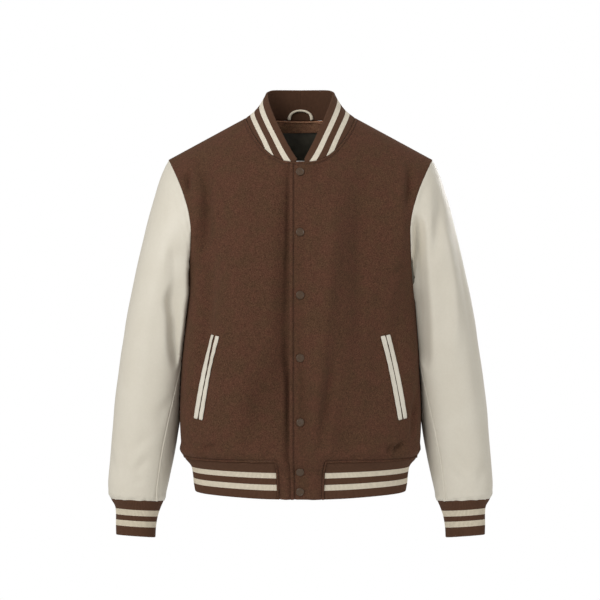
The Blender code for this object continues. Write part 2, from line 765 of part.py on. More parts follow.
def strip_on(find, start, end, side_shift, width, lift, thickness):
    """A flat strip of cloth between two places, lying on a panel."""
    along = Vector((end[0] - start[0], end[1] - start[1])).normalized()
    across = Vector((-along.y, along.x))
    skins = ([], [])
    for step in range(WELT_STEPS + 1):
        share = step / WELT_STEPS
        bow = WELT_BOW * math.sin(math.pi * share) * (1 if start[0] > 0 else -1)
        middle = Vector(start).lerp(Vector(end), share) + across * (side_shift + bow)
        for edge in (-0.5, 0.5):
            spot = middle + across * (edge * width)
            place, normal = find(spot.x, spot.y)
            skins[0].append(place + normal * lift)
            skins[1].append(place + normal * (lift + thickness))
    count = len(skins[0])
    faces = []
    for step in range(WELT_STEPS):
        a, b, c, d = 2 * step, 2 * step + 1, 2 * step + 3, 2 * step + 2
        faces += [(a, b, c, d), (d + count, c + count, b + count, a + count)]
        faces += [(a, d, d + count, a + count), (c, b, b + count, c + count)]
    end_a = count - 2
    faces += [(0, count, count + 1, 1), (end_a, end_a + 1, count + end_a + 1, count + end_a)]
    return skins[0] + skins[1], faces


def snap_cap(find, z):
    """A low domed cap, turned about the panel's own direction."""
    place, normal = find(SNAP_X, z)
    turn = normal.to_track_quat("Z", "Y")
    vertices = []
    for radius, height in SNAP_PROFILE:
        for step in range(SNAP_SIDES):
            angle = 2 * math.pi * step / SNAP_SIDES
            local = Vector((SNAP_RADIUS * radius * math.cos(angle),
                            SNAP_RADIUS * radius * math.sin(angle), SNAP_HEIGHT * height))
            vertices.append(place + normal * LAID_ON + turn @ local)
    faces = [tuple(range(SNAP_SIDES - 1, -1, -1))]
    for level in range(len(SNAP_PROFILE) - 1):
        for step in range(SNAP_SIDES):
            after = (step + 1) % SNAP_SIDES
            low = level * SNAP_SIDES
            faces.append((low + step, low + after, low + SNAP_SIDES + after, low + SNAP_SIDES + step))
    top = (len(SNAP_PROFILE) - 1) * SNAP_SIDES
    faces.append(tuple(range(top, top + SNAP_SIDES)))
    return vertices, faces


def tube(route, radius, sides):
    """A round cord with closed ends along a short route."""
    vertices = []
    faces = []
    last = len(route) - 1
    for index, place in enumerate(route):
        ahead = (route[min(index + 1, last)] - route[max(index - 1, 0)]).normalized()
        first = Vector((0, 1, 0))
        second = ahead.cross(first).normalized()
        first = second.cross(ahead).normalized()
        for step in range(sides):
            angle = 2 * math.pi * step / sides
            vertices.append(place + radius * (math.cos(angle) * first + math.sin(angle) * second))
    for index in range(last):
        for step in range(sides):
            after = (step + 1) % sides
            low = index * sides
            faces.append((low + step, low + after, low + sides + after, low + sides + step))
    faces.append(tuple(range(sides - 1, -1, -1)))
    faces.append(tuple(range(last * sides, last * sides + sides)))
    return vertices, faces


def hanger_route(find):
    """An arch that lies against the inside of the collar at the back of the neck."""
    route = []
    for step in range(LOOP_STEPS + 1):
        angle = math.pi * step / LOOP_STEPS
        rise = math.sin(angle) ** 0.8
        place, normal = find(LOOP_HALF * math.cos(angle), LOOP_FOOT_Z + (LOOP_TOP_Z - LOOP_FOOT_Z) * rise)
        route.append(place + normal * (LOOP_RADIUS + LAID_ON))
    return route


def collar_points(right_front, back, left_front):
    """The collar's grid: rows from the neck seam to the free edge, columns right, back, left."""
    base = []
    for row in right_front[-NECK_ROWS:]:
        base.append(row[0])
    first = BACK_SHOULDER_COLUMNS
    base += back[-1][first + 1:first + BACK_NECK_COLUMNS]
    for row in reversed(left_front[-NECK_ROWS:]):
        base.append(row[0])
    base = [place.copy() for place in base]
    for end, after in ((0, 1), (-1, -2)):
        base[end] = base[end].lerp(base[after], COLLAR_END / abs(base[after].x))
    lengths = [0.0]
    for one, two in zip(base, base[1:]):
        lengths.append(lengths[-1] + (two - one).length)
    half = lengths[-1] / 2
    columns = []
    for place, length in zip(base, lengths):
        side = -1 if length < half else 1
        along = 1.0 - abs(length - half) / half
        station = read_row(COLLAR_FREE_EDGE, "along", along)
        free = Vector((side * station.x, station.y, station.z))
        outward = Vector((place.x, place.y, COLLAR_OUT_Z)).normalized()
        column = []
        for share in COLLAR_ROWS:
            full = min(1.0, (free - place).length / COLLAR_FULL_WIDTH)
            bulge = COLLAR_BULGE * math.sin(math.pi * share) * full
            column.append(place.lerp(free, share) + outward * bulge)
        columns.append(column)
    return [[column[row] for column in columns] for row in range(len(COLLAR_ROWS))]


def hem_rib_points(right_front, back, left_front):
    """The hem rib's grid, from the right tab round the back to the left tab, rows upward."""
    top = [(place, -1) for place in right_front[len(RIB_LEVELS) - 1][TAB_COLUMNS:]]
    top += [(place, 1) for place in back[0][1:]]
    top += [(place, -1) for place in reversed(left_front[len(RIB_LEVELS) - 1][TAB_COLUMNS:-1])]
    rows = []
    for z in RIB_LEVELS[:-1]:
        row = []
        for place, face in top:
            lift = lap_lift(place.x) if face < 0 < place.x else 0.0
            point = body_point(math.atan2(place.x, abs(place.y) - lift), z, face)
            point.y -= lift
            row.append(point)
        rows.append(row)
    rows.append([place.copy() for place, _ in top])
    return rows


def inner_layer(points, normals, first_row, last_row, columns, depth):
    """A patch of the back's own points, moved in by depth."""
    patch = []
    for j in range(first_row, last_row + 1):
        patch.append([points[j][i] - normals[(j, i)] * depth for i in columns])
    return patch


def build():
    for existing in list(bpy.data.objects):
        bpy.data.objects.remove(existing, do_unlink=True)
    jacket = bpy.data.objects.new("varsity_jacket", None)
    bpy.context.scene.collection.objects.link(jacket)

    right_front = front_panel(-1)
    left_front = front_panel(1)
    back = back_panel()
    for points, face in ((right_front, -1), (left_front, -1), (back, 1)):
        rows = len(points) - 1
        columns = len(points[0]) - 1
        inside = range(len(RIB_LEVELS), rows) if face < 0 else range(1, rows)
        for j in inside:
            for i in range(1, columns):
                point = points[j][i]
                outward = Vector((point.x * 0.4, point.y, 0)).normalized()
                points[j][i] = point + outward * fold_push(point, face)
    for row in left_front:
        for point in row:
            point.y -= lap_lift(point.x)
    tab_rows = len(RIB_LEVELS) - 1
    panel_cells = {(j, i) for j in range(len(right_front) - 1) for i in range(FRONT_COLUMNS)
                   if j >= tab_rows or i < TAB_COLUMNS}

    def body_axis(j, i):
        return Vector((0, 0, -0.35))

    cloths = [
        make_cloth("front_right", right_front, WOOL, "wool", cells=panel_cells),
        make_cloth("front_left", left_front, WOOL, "wool", cells=panel_cells),
        make_cloth("back", back, WOOL, "wool"),
    ]
    centres = [body_axis] * 3

    for side, name, front in ((-1, "right", right_front), (1, "left", left_front)):
        edge = [row[-1] for row in front[-ARMHOLE_ROWS - 1:]]
        back_edge = [row[0 if side < 0 else -1] for row in back[-ARMHOLE_ROWS - 1:]]
        armhole = list(reversed(edge)) + back_edge[1:-1]
        rings = sleeve_rings(side, armhole)
        round_columns = [ring + [ring[0]] for ring in rings]
        upper = [ring[BACK_SEAM_COLUMN:] + ring[1:FRONT_SEAM_COLUMN + 1] for ring in round_columns]
        under = [ring[FRONT_SEAM_COLUMN:BACK_SEAM_COLUMN + 1] for ring in round_columns]
        cuff = cuff_points(side, rings[-1])

        def ring_centre(j, i, rings=rings):
            return sum(rings[j], Vector()) / len(rings[j])

        def cuff_centre(j, i, cuff=cuff):
            return sum(cuff[j], Vector()) / len(cuff[j])

        cloths += [
            make_cloth("upper_sleeve_" + name, upper, LEATHER, "leather"),
            make_cloth("under_sleeve_" + name, under, LEATHER, "leather"),
            make_cloth("cuff_" + name, cuff, RIB_KNIT, "rib_knit", closed=True,
                       ribs=CUFF_RIBS_PER_CELL, flat_rows=(0,)),
        ]
        centres += [ring_centre, ring_centre, cuff_centre]

    collar = collar_points(right_front, back, left_front)
    cloths.append(make_cloth("collar", collar, RIB_KNIT, "rib_knit", ribs=COLLAR_RIBS_PER_CELL,
                             flat_rows=(0,), pull=COLLAR_PULL))
    centres.append(lambda j, i: Vector((0, 0.0, -0.10)))
    hem = hem_rib_points(right_front, back, left_front)
    cloths.append(make_cloth("hem_rib", hem, RIB_KNIT, "rib_knit", ribs=HEM_RIBS_PER_CELL,
                             flat_rows=(len(RIB_LEVELS) - 1,)))
    centres.append(body_axis)

    for cloth, centre_of in zip(cloths, centres):
        work_out_normals(cloth, centre_of)
    share_normals(cloths)
    pieces = {}
    for cloth in cloths:
        pick_diagonals(cloth)
        pull_edges(cloth)
        vertices, faces = wall_mesh(cloth)
        pieces[cloth["name"]] = add_object(cloth["name"], vertices, faces, cloth["material"], jacket)

    # inside the back neck
    back_cloth = cloths[2]
    top_row = len(back) - 1
    first = BACK_SHOULDER_COLUMNS
    neck_columns = range(first - 1, first + BACK_NECK_COLUMNS + 2)
    under_wall = WOOL + LAID_ON
    for name, low, high, depth, thick, finish in (
            ("neck_facing", top_row - FACING_DEPTH_ROWS, top_row, under_wall + LINING + LAID_ON, WOOL, "wool"),
            ("back_lining", top_row - LINING_ROWS, top_row, under_wall, LINING, "lining")):
        patch = inner_layer(back, back_cloth["normals"], low, high, neck_columns, depth)
        if name == "neck_facing":
            patch[0] = [place.lerp(above, FACING_LOW_EDGE) for place, above in zip(patch[0], patch[1])]
        layer = make_cloth(name, patch, thick, finish)
        work_out_normals(layer, body_axis)
        layer["normals"] = {(j, i): back_cloth["normals"][(low + j, neck_columns[i])]
                            for j, i in layer["normals"]}
        layer["diagonals"] = {(j, i): back_cloth["diagonals"][(low + j, neck_columns[i])]
                              for j, i in layer["cells"]}
        pull_edges(layer)
        vertices, faces = wall_mesh(layer)
        add_object(name, vertices, faces, finish, jacket)

    # pocket welts, snaps and hanger loop
    for side, name in ((-1, "right"), (1, "left")):
        find = surface_finder(pieces["front_" + name])
        start = (side * WELT.top_x, WELT.top_z)
        end = (side * WELT.low_x, WELT.low_z)
        for edge, part in ((-1, "a"), (1, "b")):
            shift = edge * (WELT_WIDTH + WELT_GAP) / 2
            vertices, faces = strip_on(find, start, end, shift, WELT_WIDTH, WELT_LIFT, WELT_THICK)
            add_object("pocket_welt_" + name + "_" + part, vertices, faces, "leather", jacket)
    find = surface_finder(pieces["front_left"])
    for number, z in enumerate(SNAP_HEIGHTS, start=1):
        vertices, faces = snap_cap(find, z)
        add_object("snap_" + str(number), vertices, faces, "snap", jacket)
    find = surface_finder(pieces["collar"], start_y=0.0)
    vertices, faces = tube(hanger_route(find), LOOP_RADIUS, 8)
    add_object("hanger_loop", vertices, faces, "cord", jacket)


build()
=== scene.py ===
import math

import bpy
import numpy as np
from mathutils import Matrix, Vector
from mathutils.bvhtree import BVHTree


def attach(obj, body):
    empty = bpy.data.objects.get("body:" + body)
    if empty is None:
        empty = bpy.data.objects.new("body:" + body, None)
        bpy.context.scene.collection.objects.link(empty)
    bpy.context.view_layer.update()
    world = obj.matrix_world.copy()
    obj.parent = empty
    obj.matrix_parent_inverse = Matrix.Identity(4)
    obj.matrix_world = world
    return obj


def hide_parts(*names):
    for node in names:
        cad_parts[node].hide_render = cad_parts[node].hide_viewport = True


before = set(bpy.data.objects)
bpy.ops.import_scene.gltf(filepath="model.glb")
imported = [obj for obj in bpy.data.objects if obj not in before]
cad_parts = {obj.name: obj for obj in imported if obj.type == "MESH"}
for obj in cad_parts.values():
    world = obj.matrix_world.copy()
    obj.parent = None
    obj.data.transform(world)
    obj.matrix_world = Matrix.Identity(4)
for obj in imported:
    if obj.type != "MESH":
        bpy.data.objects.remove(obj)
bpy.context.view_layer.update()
print("frame loaded with", len(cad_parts), "solids")


def settle(piece, solid=None):
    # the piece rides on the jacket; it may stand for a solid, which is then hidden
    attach(piece, "root")
    if solid:
        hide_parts(solid)


def inMetres(values):
    return np.asarray(values, float) / 1000


def smoothStep(value, low, high):
    share = np.clip((value - low) / (high - low), 0.0, 1.0)
    return share * share * (3.0 - 2.0 * share)


def unit(vectors):
    return vectors / np.maximum(np.linalg.norm(vectors, axis=-1, keepdims=True), 1e-12)


def readCurve(rows, at):
    # all columns of a table at any value of its first column, by a smooth curve through the rows
    rows = np.asarray(rows, float)
    keys = rows[:, 0]
    last = len(keys) - 1
    at = np.clip(np.asarray(at, float), keys[0], keys[last])
    low = np.clip(np.searchsorted(keys[1:last], at), 0, last - 1)
    before = np.maximum(low - 1, 0)
    after = np.minimum(low + 2, last)
    span = keys[low + 1] - keys[low]
    t = ((at - keys[low]) / span)[..., None]
    lowSlope = (rows[low + 1] - rows[before]) * (span / (keys[low + 1] - keys[before]))[..., None]
    highSlope = (rows[after] - rows[low]) * (span / (keys[after] - keys[low]))[..., None]
    return (rows[low] * (2 * t ** 3 - 3 * t ** 2 + 1) + lowSlope * (t ** 3 - 2 * t ** 2 + t)
            + rows[low + 1] * (3 * t ** 2 - 2 * t ** 3) + highSlope * (t ** 3 - t ** 2))


def lengthsAlong(line):
    steps = np.linalg.norm(np.diff(line, axis=0), axis=-1)
    return np.concatenate(([0.0], np.cumsum(steps)))


def atLengths(values, lengths, at):
    return np.stack([np.interp(at, lengths, values[:, k]) for k in range(values.shape[1])], -1)


def pointAlong(line, share):
    # places on a line of points, by share of its length
    lengths = lengthsAlong(line)
    return atLengths(line, lengths, np.asarray(share) * lengths[-1])


def smoothLine(places, steps=24):
    # a smooth line through a few places
    places = np.asarray(places, float)
    padded = np.vstack([places[:1], places, places[-1:]])
    t = (np.arange(steps) / steps)[:, None]
    line = []
    for a, b, c, d in zip(padded, padded[1:], padded[2:], padded[3:]):
        line.append(0.5 * (2 * b + (c - a) * t + (2 * a - 5 * b + 4 * c - d) * t ** 2
                           + (3 * b - a - 3 * c + d) * t ** 3))
    return np.vstack(line + [places[-1:]])


def spaced(length, coarse, startZone=0.0, endZone=0.0, dense=0.0008, opening=0.4):
    # shares of a length: dense steps in the zones at its ends, opening out to coarse ones
    x = np.linspace(0.0, length, 1500)
    step = np.full_like(x, coarse)
    if startZone:
        step = np.minimum(step, np.maximum(dense, dense + (x - startZone) * opening))
    if endZone:
        step = np.minimum(step, np.maximum(dense, dense + (length - x - endZone) * opening))
    count = np.concatenate(([0.0], np.cumsum(np.diff(x) * 2 / (step[1:] + step[:-1]))))
    whole = max(2, int(math.ceil(count[-1])))
    return np.interp(np.linspace(0, count[-1], whole + 1), count, x) / length


def spreadPlaces(surface, stops, others, coarse, zones, alongRows=True):
    # row or column places of a surface, evenly spread by real distance between fixed stops
    places = []
    for (low, high), (startZone, endZone) in zip(zip(stops, stops[1:]), zones):
        fine = np.linspace(low, high, 90)
        patch = surface(fine, others) if alongRows else np.swapaxes(surface(others, fine), 0, 1)
        steps = np.linalg.norm(np.diff(patch, axis=0), axis=-1).mean(axis=1)
        lengths = np.concatenate(([0.0], np.cumsum(steps)))
        shares = spaced(lengths[-1], coarse, startZone, endZone)
        places.extend(np.interp(shares * lengths[-1], lengths, fine)[:-1])
    return np.array(places + [stops[-1]])


def gridSteps(points, closed=False):
    alongJ = np.gradient(points, axis=0)
    if closed:
        alongI = np.roll(points, -1, axis=1) - np.roll(points, 1, axis=1)
    else:
        alongI = np.gradient(points, axis=1)
    return unit(alongJ), unit(alongI)


def gridNormals(points, middle, closed=False):
    # outward directions; middle is a place, or one for each row, that they point away from
    alongJ, alongI = gridSteps(points, closed)
    normals = unit(np.cross(alongI, alongJ))
    outward = ((points - middle) * normals).sum()
    return normals if outward > 0 else -normals


def awayFrom(points, line):
    # distance from each point to a line of points, and the share of the line where it is nearest
    flat = points.reshape(-1, 3)
    start = line[:-1]
    step = np.diff(line, axis=0)
    square = np.maximum((step ** 2).sum(1), 1e-14)
    lengths = lengthsAlong(line)
    away = np.empty(len(flat))
    along = np.empty(len(flat))
    for low in range(0, len(flat), 2500):
        gap = flat[low:low + 2500, None, :] - start[None]
        share = np.clip((gap * step[None]).sum(2) / square, 0, 1)
        distance = np.linalg.norm(gap - share[..., None] * step[None], axis=2)
        best = distance.argmin(1)
        pick = np.arange(len(best))
        away[low:low + 2500] = distance[pick, best]
        along[low:low + 2500] = lengths[best] + share[pick, best] * (lengths[best + 1] - lengths[best])
    shape = points.shape[:-1]
    return away.reshape(shape), (along / lengths[-1]).reshape(shape)


def creasePush(points, line, width, depth):
    # one soft trough or ridge along a line, fading towards its ends; width may be one for each end
    first, last = np.broadcast_to(width, 2)
    reach = 3 * max(first, last)
    near = ((points > line.min(0) - reach) & (points < line.max(0) + reach)).all(-1)
    push = np.zeros(points.shape[:-1])
    if near.any():
        away, share = awayFrom(points[near], line)
        wide = first + (last - first) * share
        push[near] = depth * np.exp(-(away / wide) ** 2) * (0.15 + 0.85 * np.sin(np.pi * share))
    return push


def sewn(away, kind):
    # a topstitched edge: a groove under the stitches and a roll between it and the edge
    line, groove, width, roll = sewing[kind]
    between = np.sin(np.pi * np.clip(away / line, 0, 1)) ** 0.7 * (away < line)
    return roll * between - groove * np.exp(-((away - line) / width) ** 2)


def dyingOut(reach, *ends):
    # 1 along a sewn edge, less near the ends where the next seam crosses it
    return 0.1 + 0.9 * smoothStep(np.minimum.reduce(ends), 0.0, reach)


def pucker(points, away, kind):
    # small uneven waves beside a seam
    reach, depth = puckers[kind]
    x, y, z = points[..., 0], points[..., 1], points[..., 2]
    wave = np.sin(410 * x + 260 * z + 3 * np.sin(97 * x)) * np.sin(230 * y + 330 * z + 2 * np.sin(61 * z))
    wave += 0.6 * np.sin(190 * x - 240 * z + 1.3) * np.cos(170 * y + 90 * x)
    return depth * wave * np.exp(-(away / reach) ** 2)


def ripple(points, depth):
    # the slight unevenness of cloth that hangs
    x, y, z = points[..., 0], points[..., 1], points[..., 2]
    wave = np.sin(47 * x + 21 * z + 1.7 * np.sin(19 * z + 0.5)) + np.sin(31 * y - 39 * z + 0.9)
    wave += 0.6 * np.sin(83 * z + 23 * x + 2.1 * np.sin(29 * x)) + 0.5 * np.sin(101 * x - 33 * z + 1.1)
    return depth * wave / 3.1


def lineAt(points, normals, away, level, byColumns=False):
    # the line where away reaches a level, found along each row of a grid from its first column
    if byColumns:
        points, normals, away = [np.swapaxes(grid, 0, 1) for grid in (points, normals, away)]
    places = []
    outward = []
    for row, direction, distance in zip(points, normals, away):
        inside = np.flatnonzero((distance[:-1] <= level) & (distance[1:] > level))
        if len(inside):
            i = inside[0]
            share = (level - distance[i]) / (distance[i + 1] - distance[i])
            places.append(row[i] + (row[i + 1] - row[i]) * share)
            outward.append(direction[i] + (direction[i + 1] - direction[i]) * share)
    return np.array(places), unit(np.array(outward))


def makeObject(name, vertices, quads, materials, slots=None, marks=None):
    mesh = bpy.data.meshes.new(name)
    mesh.vertices.add(len(vertices))
    mesh.vertices.foreach_set("co", np.asarray(vertices, np.float32).ravel())
    mesh.loops.add(quads.size)
    mesh.loops.foreach_set("vertex_index", quads.ravel().astype(np.int32))
    mesh.polygons.add(len(quads))
    mesh.polygons.foreach_set("loop_start", np.arange(0, quads.size, 4, dtype=np.int32))
    mesh.update(calc_edges=True)
    mesh.polygons.foreach_set("use_smooth", np.ones(len(quads), bool))
    if slots is not None:
        mesh.polygons.foreach_set("material_index", slots.astype(np.int32))
    for mark, values in (marks or {}).items():
        layer = mesh.attributes.new(mark, "FLOAT", "POINT")
        layer.data.foreach_set("value", np.asarray(values, np.float32))
    for material in materials:
        mesh.materials.append(material)
    mesh.validate()
    piece = bpy.data.objects.new(name, mesh)
    bpy.context.scene.collection.objects.link(piece)
    return piece


def cellsAround(mask, closed):
    # whether the four cells round each grid point are filled
    rows, columns = mask.shape[0] + 1, mask.shape[1] + (0 if closed else 1)
    cells = np.zeros((rows + 1, columns + 1), bool)
    cells[1:rows, 1:mask.shape[1] + 1] = mask
    if closed:
        cells[:, 0] = cells[:, columns]
    return cells[:-1, :-1], cells[:-1, 1:], cells[1:, :-1], cells[1:, 1:]


def standBack(points, mask, amount, closed=False, zone=0.006):
    # moves the edges of a grid in by an amount, and what lies near them less and less
    a, b, c, d = [corner.astype(int) for corner in cellsAround(mask, closed)]
    towardJ = np.sign(c + d - a - b)
    towardI = np.sign(b + d - a - c)
    stepJ, stepI = gridSteps(points, closed)
    shift = np.zeros_like(points)
    for j in range(points.shape[0]):
        edges = np.flatnonzero(towardI[j])
        if len(edges):
            lengths = lengthsAlong(points[j])
            for i in edges:
                away = (lengths - lengths[i]) * towardI[j, i]
                share = np.where(away >= -1e-9, np.clip(1 - away / zone, 0, 1), 0)
                shift[j] += stepI[j] * (towardI[j, i] * amount * share)[:, None]
    for i in range(points.shape[1]):
        edges = np.flatnonzero(towardJ[:, i])
        if len(edges):
            lengths = lengthsAlong(points[:, i])
            for j in edges:
                away = (lengths - lengths[j]) * towardJ[j, i]
                share = np.where(away >= -1e-9, np.clip(1 - away / zone, 0, 1), 0)
                shift[:, i] += stepJ[:, i] * (towardJ[j, i] * amount * share)[:, None]
    # at a corner this is longer, so that sewn corners meet
    return points + shift, -(towardJ[..., None] * stepJ + towardI[..., None] * stepI)


def clothMesh(name, outer, inner, edgeOut, mask, materials, closed=False, marks=None, more=None, rimSteps=4):
    # a closed wall of cloth: an outer and an inner skin, joined by half-round edges
    around = cellsAround(mask, closed)
    used = around[0] | around[1] | around[2] | around[3]
    border = used & ~(around[0] & around[1] & around[2] & around[3])
    count, rimCount = used.sum(), border.sum()
    outerAt = np.full(used.shape, -1)
    outerAt[used] = np.arange(count)
    rimAt = np.full(used.shape, -1)
    rimAt[border] = np.arange(rimCount)
    layers = [outer[used], inner[used]]
    middle = (outer[border] + inner[border]) / 2
    half = (outer[border] - inner[border]) / 2
    reach = np.linalg.norm(half, axis=1, keepdims=True)
    for step in range(1, rimSteps):
        turn = math.pi * step / rimSteps
        layers.append(middle + half * math.cos(turn) + edgeOut[border] * reach * math.sin(turn))
    vertices = np.concatenate(layers)

    j, i = np.nonzero(mask)
    after = (i + 1) % used.shape[1] if closed else i + 1
    cell = np.stack([outerAt[j, i], outerAt[j, after], outerAt[j + 1, after], outerAt[j + 1, i]], 1)
    quads = [cell, cell[:, ::-1] + count]
    edges = []
    filled = np.zeros((mask.shape[0] + 2, mask.shape[1] + 2), bool)
    filled[1:-1, 1:-1] = mask
    if closed:
        filled[:, 0] = filled[:, -2]
        filled[:, -1] = filled[:, 1]
    here = filled[j + 1, i + 1]
    for openSide, first, second in (
            (~filled[j, i + 1], (j, i), (j, after)),
            (~filled[j + 2, i + 1], (j + 1, after), (j + 1, i)),
            (~filled[j + 1, i], (j + 1, i), (j, i)),
            (~filled[j + 1, i + 2], (j, after), (j + 1, after))):
        pick = openSide & here
        edges.append((first[0][pick], first[1][pick], second[0][pick], second[1][pick]))
    aj, ai, bj, bi = [np.concatenate(part) for part in zip(*edges)]

    def layerIndex(jj, ii, step):
        if step == 0:
            return outerAt[jj, ii]
        if step == rimSteps:
            return outerAt[jj, ii] + count
        return 2 * count + (step - 1) * rimCount + rimAt[jj, ii]

    for step in range(rimSteps):
        quads.append(np.stack([layerIndex(bj, bi, step), layerIndex(aj, ai, step),
                               layerIndex(aj, ai, step + 1), layerIndex(bj, bi, step + 1)], 1))
    slots = np.concatenate([np.full(len(part), 1 if index == 1 else 0) for index, part in enumerate(quads)])
    quads = np.concatenate(quads)
    a, b, d = vertices[cell[:, 0]], vertices[cell[:, 1]], vertices[cell[:, 3]]
    facing = (np.cross(b - a, d - a) * (outer - inner)[j, i]).sum()
    if facing < 0:
        quads = quads[:, ::-1]
    spread = {}
    for mark, (first, second) in (marks or {}).items():
        spread[mark] = np.concatenate([first[used], second[used]] + [first[border]] * (rimSteps - 1))
    if len(materials) == 1:
        slots = np.zeros_like(slots)
    if more is not None:
        quads = np.concatenate([quads, more[1] + len(vertices)])
        vertices = np.concatenate([vertices, more[0]])
        slots = np.concatenate([slots, np.zeros(len(more[1]), slots.dtype)])
    return makeObject(name, vertices, quads, materials, slots, spread)


def joined(parts):
    # several (vertices, quads) as one
    vertices, quads, start = [], [], 0
    for points, faces in parts:
        vertices.append(points)
        quads.append(faces + start)
        start += len(points)
    return np.concatenate(vertices), np.concatenate(quads)


def facingOut(vertices, quads):
    # turns the faces of a closed mesh outward, by the sign of its volume
    a, b, c, d = [vertices[quads[:, k]] for k in range(4)]
    volume = (a * (np.cross(b, c) + np.cross(c, d))).sum()
    return quads if volume > 0 else quads[:, ::-1]


def tubeMesh(rings, shrunk=0.03):
    # rings: (count, sides, 3); both ends close down to a small ring
    first, last = rings[0].mean(0), rings[-1].mean(0)
    rings = np.concatenate([first + (rings[:1] - first) * shrunk, rings, last + (rings[-1:] - last) * shrunk])
    count, sides = rings.shape[:2]
    j = np.repeat(np.arange(count - 1), sides)
    i = np.tile(np.arange(sides), count - 1)
    after = (i + 1) % sides
    quads = np.stack([j * sides + i, j * sides + after, (j + 1) * sides + after, (j + 1) * sides + i], 1)
    vertices = rings.reshape(-1, 3)
    return vertices, facingOut(vertices, quads)


def cordRings(route, radius, sides):
    # circles along a route; radius holds one value for each place
    turns = np.linspace(0, 2 * math.pi, sides + 1)[:-1]
    ahead = unit(np.gradient(route, axis=0))
    across = unit(np.cross(ahead, np.array([0.0, 1.0, 0.0])))
    up = np.cross(across, ahead)
    circle = np.cos(turns)[None, :, None] * across[:, None] + np.sin(turns)[None, :, None] * up[:, None]
    return route[:, None] + radius[:, None, None] * circle


# ends: place along a stitch, share of its radius, and lift in radii
stitch = {"pitch": 0.0032, "length": 0.0023, "radius": 0.00030, "sides": 6,
          "ends": ((-0.5, 0.25, -0.9), (-0.32, 0.9, 0.05), (0.0, 1.0, 0.25), (0.32, 0.9, 0.05),
                   (0.5, 0.25, -0.9))}


def stitchRun(line, normals):
    # short stitches lying end to end on a line
    lengths = lengthsAlong(line)
    count = max(2, int(lengths[-1] / stitch["pitch"]))
    at = (np.arange(count) + 0.5) / count
    places = pointAlong(line, at)
    ahead = unit(pointAlong(line, np.clip(at + 0.001, 0, 1)) - pointAlong(line, np.clip(at - 0.001, 0, 1)))
    up = unit(atLengths(normals, lengths, at * lengths[-1]))
    across = unit(np.cross(ahead, up))
    sides, radius = stitch["sides"], stitch["radius"]
    rings = []
    for along, size, lift in stitch["ends"]:
        for side in range(sides):
            turn = 2 * math.pi * side / sides
            rings.append(places + ahead * (along * stitch["length"])
                         + across * (radius * size * math.cos(turn))
                         + up * (radius * (size * math.sin(turn) + lift)))
    vertices = np.stack(rings, 1).reshape(-1, 3)
    per = sides * len(stitch["ends"])
    faces = []
    for low in range(0, per - sides, sides):
        for side in range(sides):
            after = (side + 1) % sides
            faces.append((low + side, low + after, low + sides + after, low + sides + side))
    for order in (range(sides - 1, -1, -1), range(per - sides, per)):
        faces.append((order[0], order[1], order[2], order[3]))
        faces.append((order[0], order[3], order[4], order[5]))
    faces = np.array(faces)
    quads = (faces[None] + (np.arange(count) * per)[:, None, None]).reshape(-1, 4)
    return vertices, quads


# the body is a run of rounded sections from the hem up, cut off along the shoulders; its cloth lies between
# seam lines given as across and height
body = {
    "neckX": 0.0975, "tipX": 0.235, "tipDrop": 0.0746, "neckRounding": 0.040,
    "frontRise": 0.33, "frontRiseAtTip": 0.19, "frontPower": 1.6,
    "backRise": 0.16, "backPower": 2.0, "sectionPower": 2.5,
    "hemZ": -0.602, "underarmZ": -0.306, "bottomZ": -0.666,
    # height, half width, depth of the front, depth of the back, in mm
    "sections": (
        (-666, 187, 113, 109), (-650, 189.5, 114.5, 110.5), (-633, 191, 116, 112), (-617, 194.5, 119, 115),
        (-602, 206, 127, 123), (-584, 211.5, 132, 128), (-545, 214, 135, 130), (-500, 213.5, 135.5, 129),
        (-430, 211, 135.5, 127), (-360, 205.5, 136, 126), (-306, 203.5, 136, 127), (-262, 205.5, 136, 128),
        (-232, 212, 136, 129), (-204, 222, 135.5, 130), (-178, 232, 135, 130), (-149, 243, 135, 130),
        (-120, 252, 135, 129), (-93, 260, 135, 128), (60, 270, 135, 128)),
    # across and height of the seams, in mm
    "frontNeckline": (
        (0, -84.8), (18.6, -84.5), (35, -80.6), (52.5, -70), (70, -52), (86.5, -26.2), (97.5, 0)),
    "backNeckline": ((0, 3), (45, 3), (80, 2.2), (97.5, 0)),
    "frontArmhole": (
        (203.5, -306), (199, -287), (194.5, -262), (191.5, -232), (190.5, -204), (193.5, -178), (201, -149),
        (212, -120), (225, -93), (235, -74.6)),
    "backArmhole": (
        (203.5, -306), (203.5, -270), (205, -230), (208, -195), (213, -160), (220, -125), (228, -95),
        (235, -74.6)),
    "lap": 0.019, "lapLift": 0.0032, "lapFade": (0.024, 0.075), "tabHalf": 0.045,
    "wall": 0.0022, "grid": 0.0042, "seamGap": -0.0002,
    # width, length and area of the cut cloth
    "frontCut": (0.318, 0.790, 0.161), "backCut": (0.575, 0.672, 0.323),
}
shoulderSlope = body["tipDrop"] / (body["tipX"] - body["neckX"])
sections = inMetres(body["sections"])
bodyMiddle = np.array([0, 0, -0.35])


def shoulderHeight(x):
    reach = np.abs(x)
    neckX, rounding = body["neckX"], body["neckRounding"]
    rounded = math.hypot(neckX, rounding) - np.sqrt(reach ** 2 + rounding ** 2)
    return shoulderSlope * np.where(reach >= neckX, neckX - reach, rounded)


def shoulderShare(x, z, face):
    # how far the front or back has come out from the shoulder line at this height
    outer = smoothStep(np.abs(x), body["neckX"], body["tipX"])
    rise = np.where(face < 0, body["frontRise"] + (body["frontRiseAtTip"] - body["frontRise"]) * outer,
                    body["backRise"])
    power = np.where(face < 0, body["frontPower"], body["backPower"])
    depth = np.clip((shoulderHeight(x) - z) / rise, 0.0, 1.0)
    return (1.0 - (1.0 - depth) ** power) ** (1.0 / power)


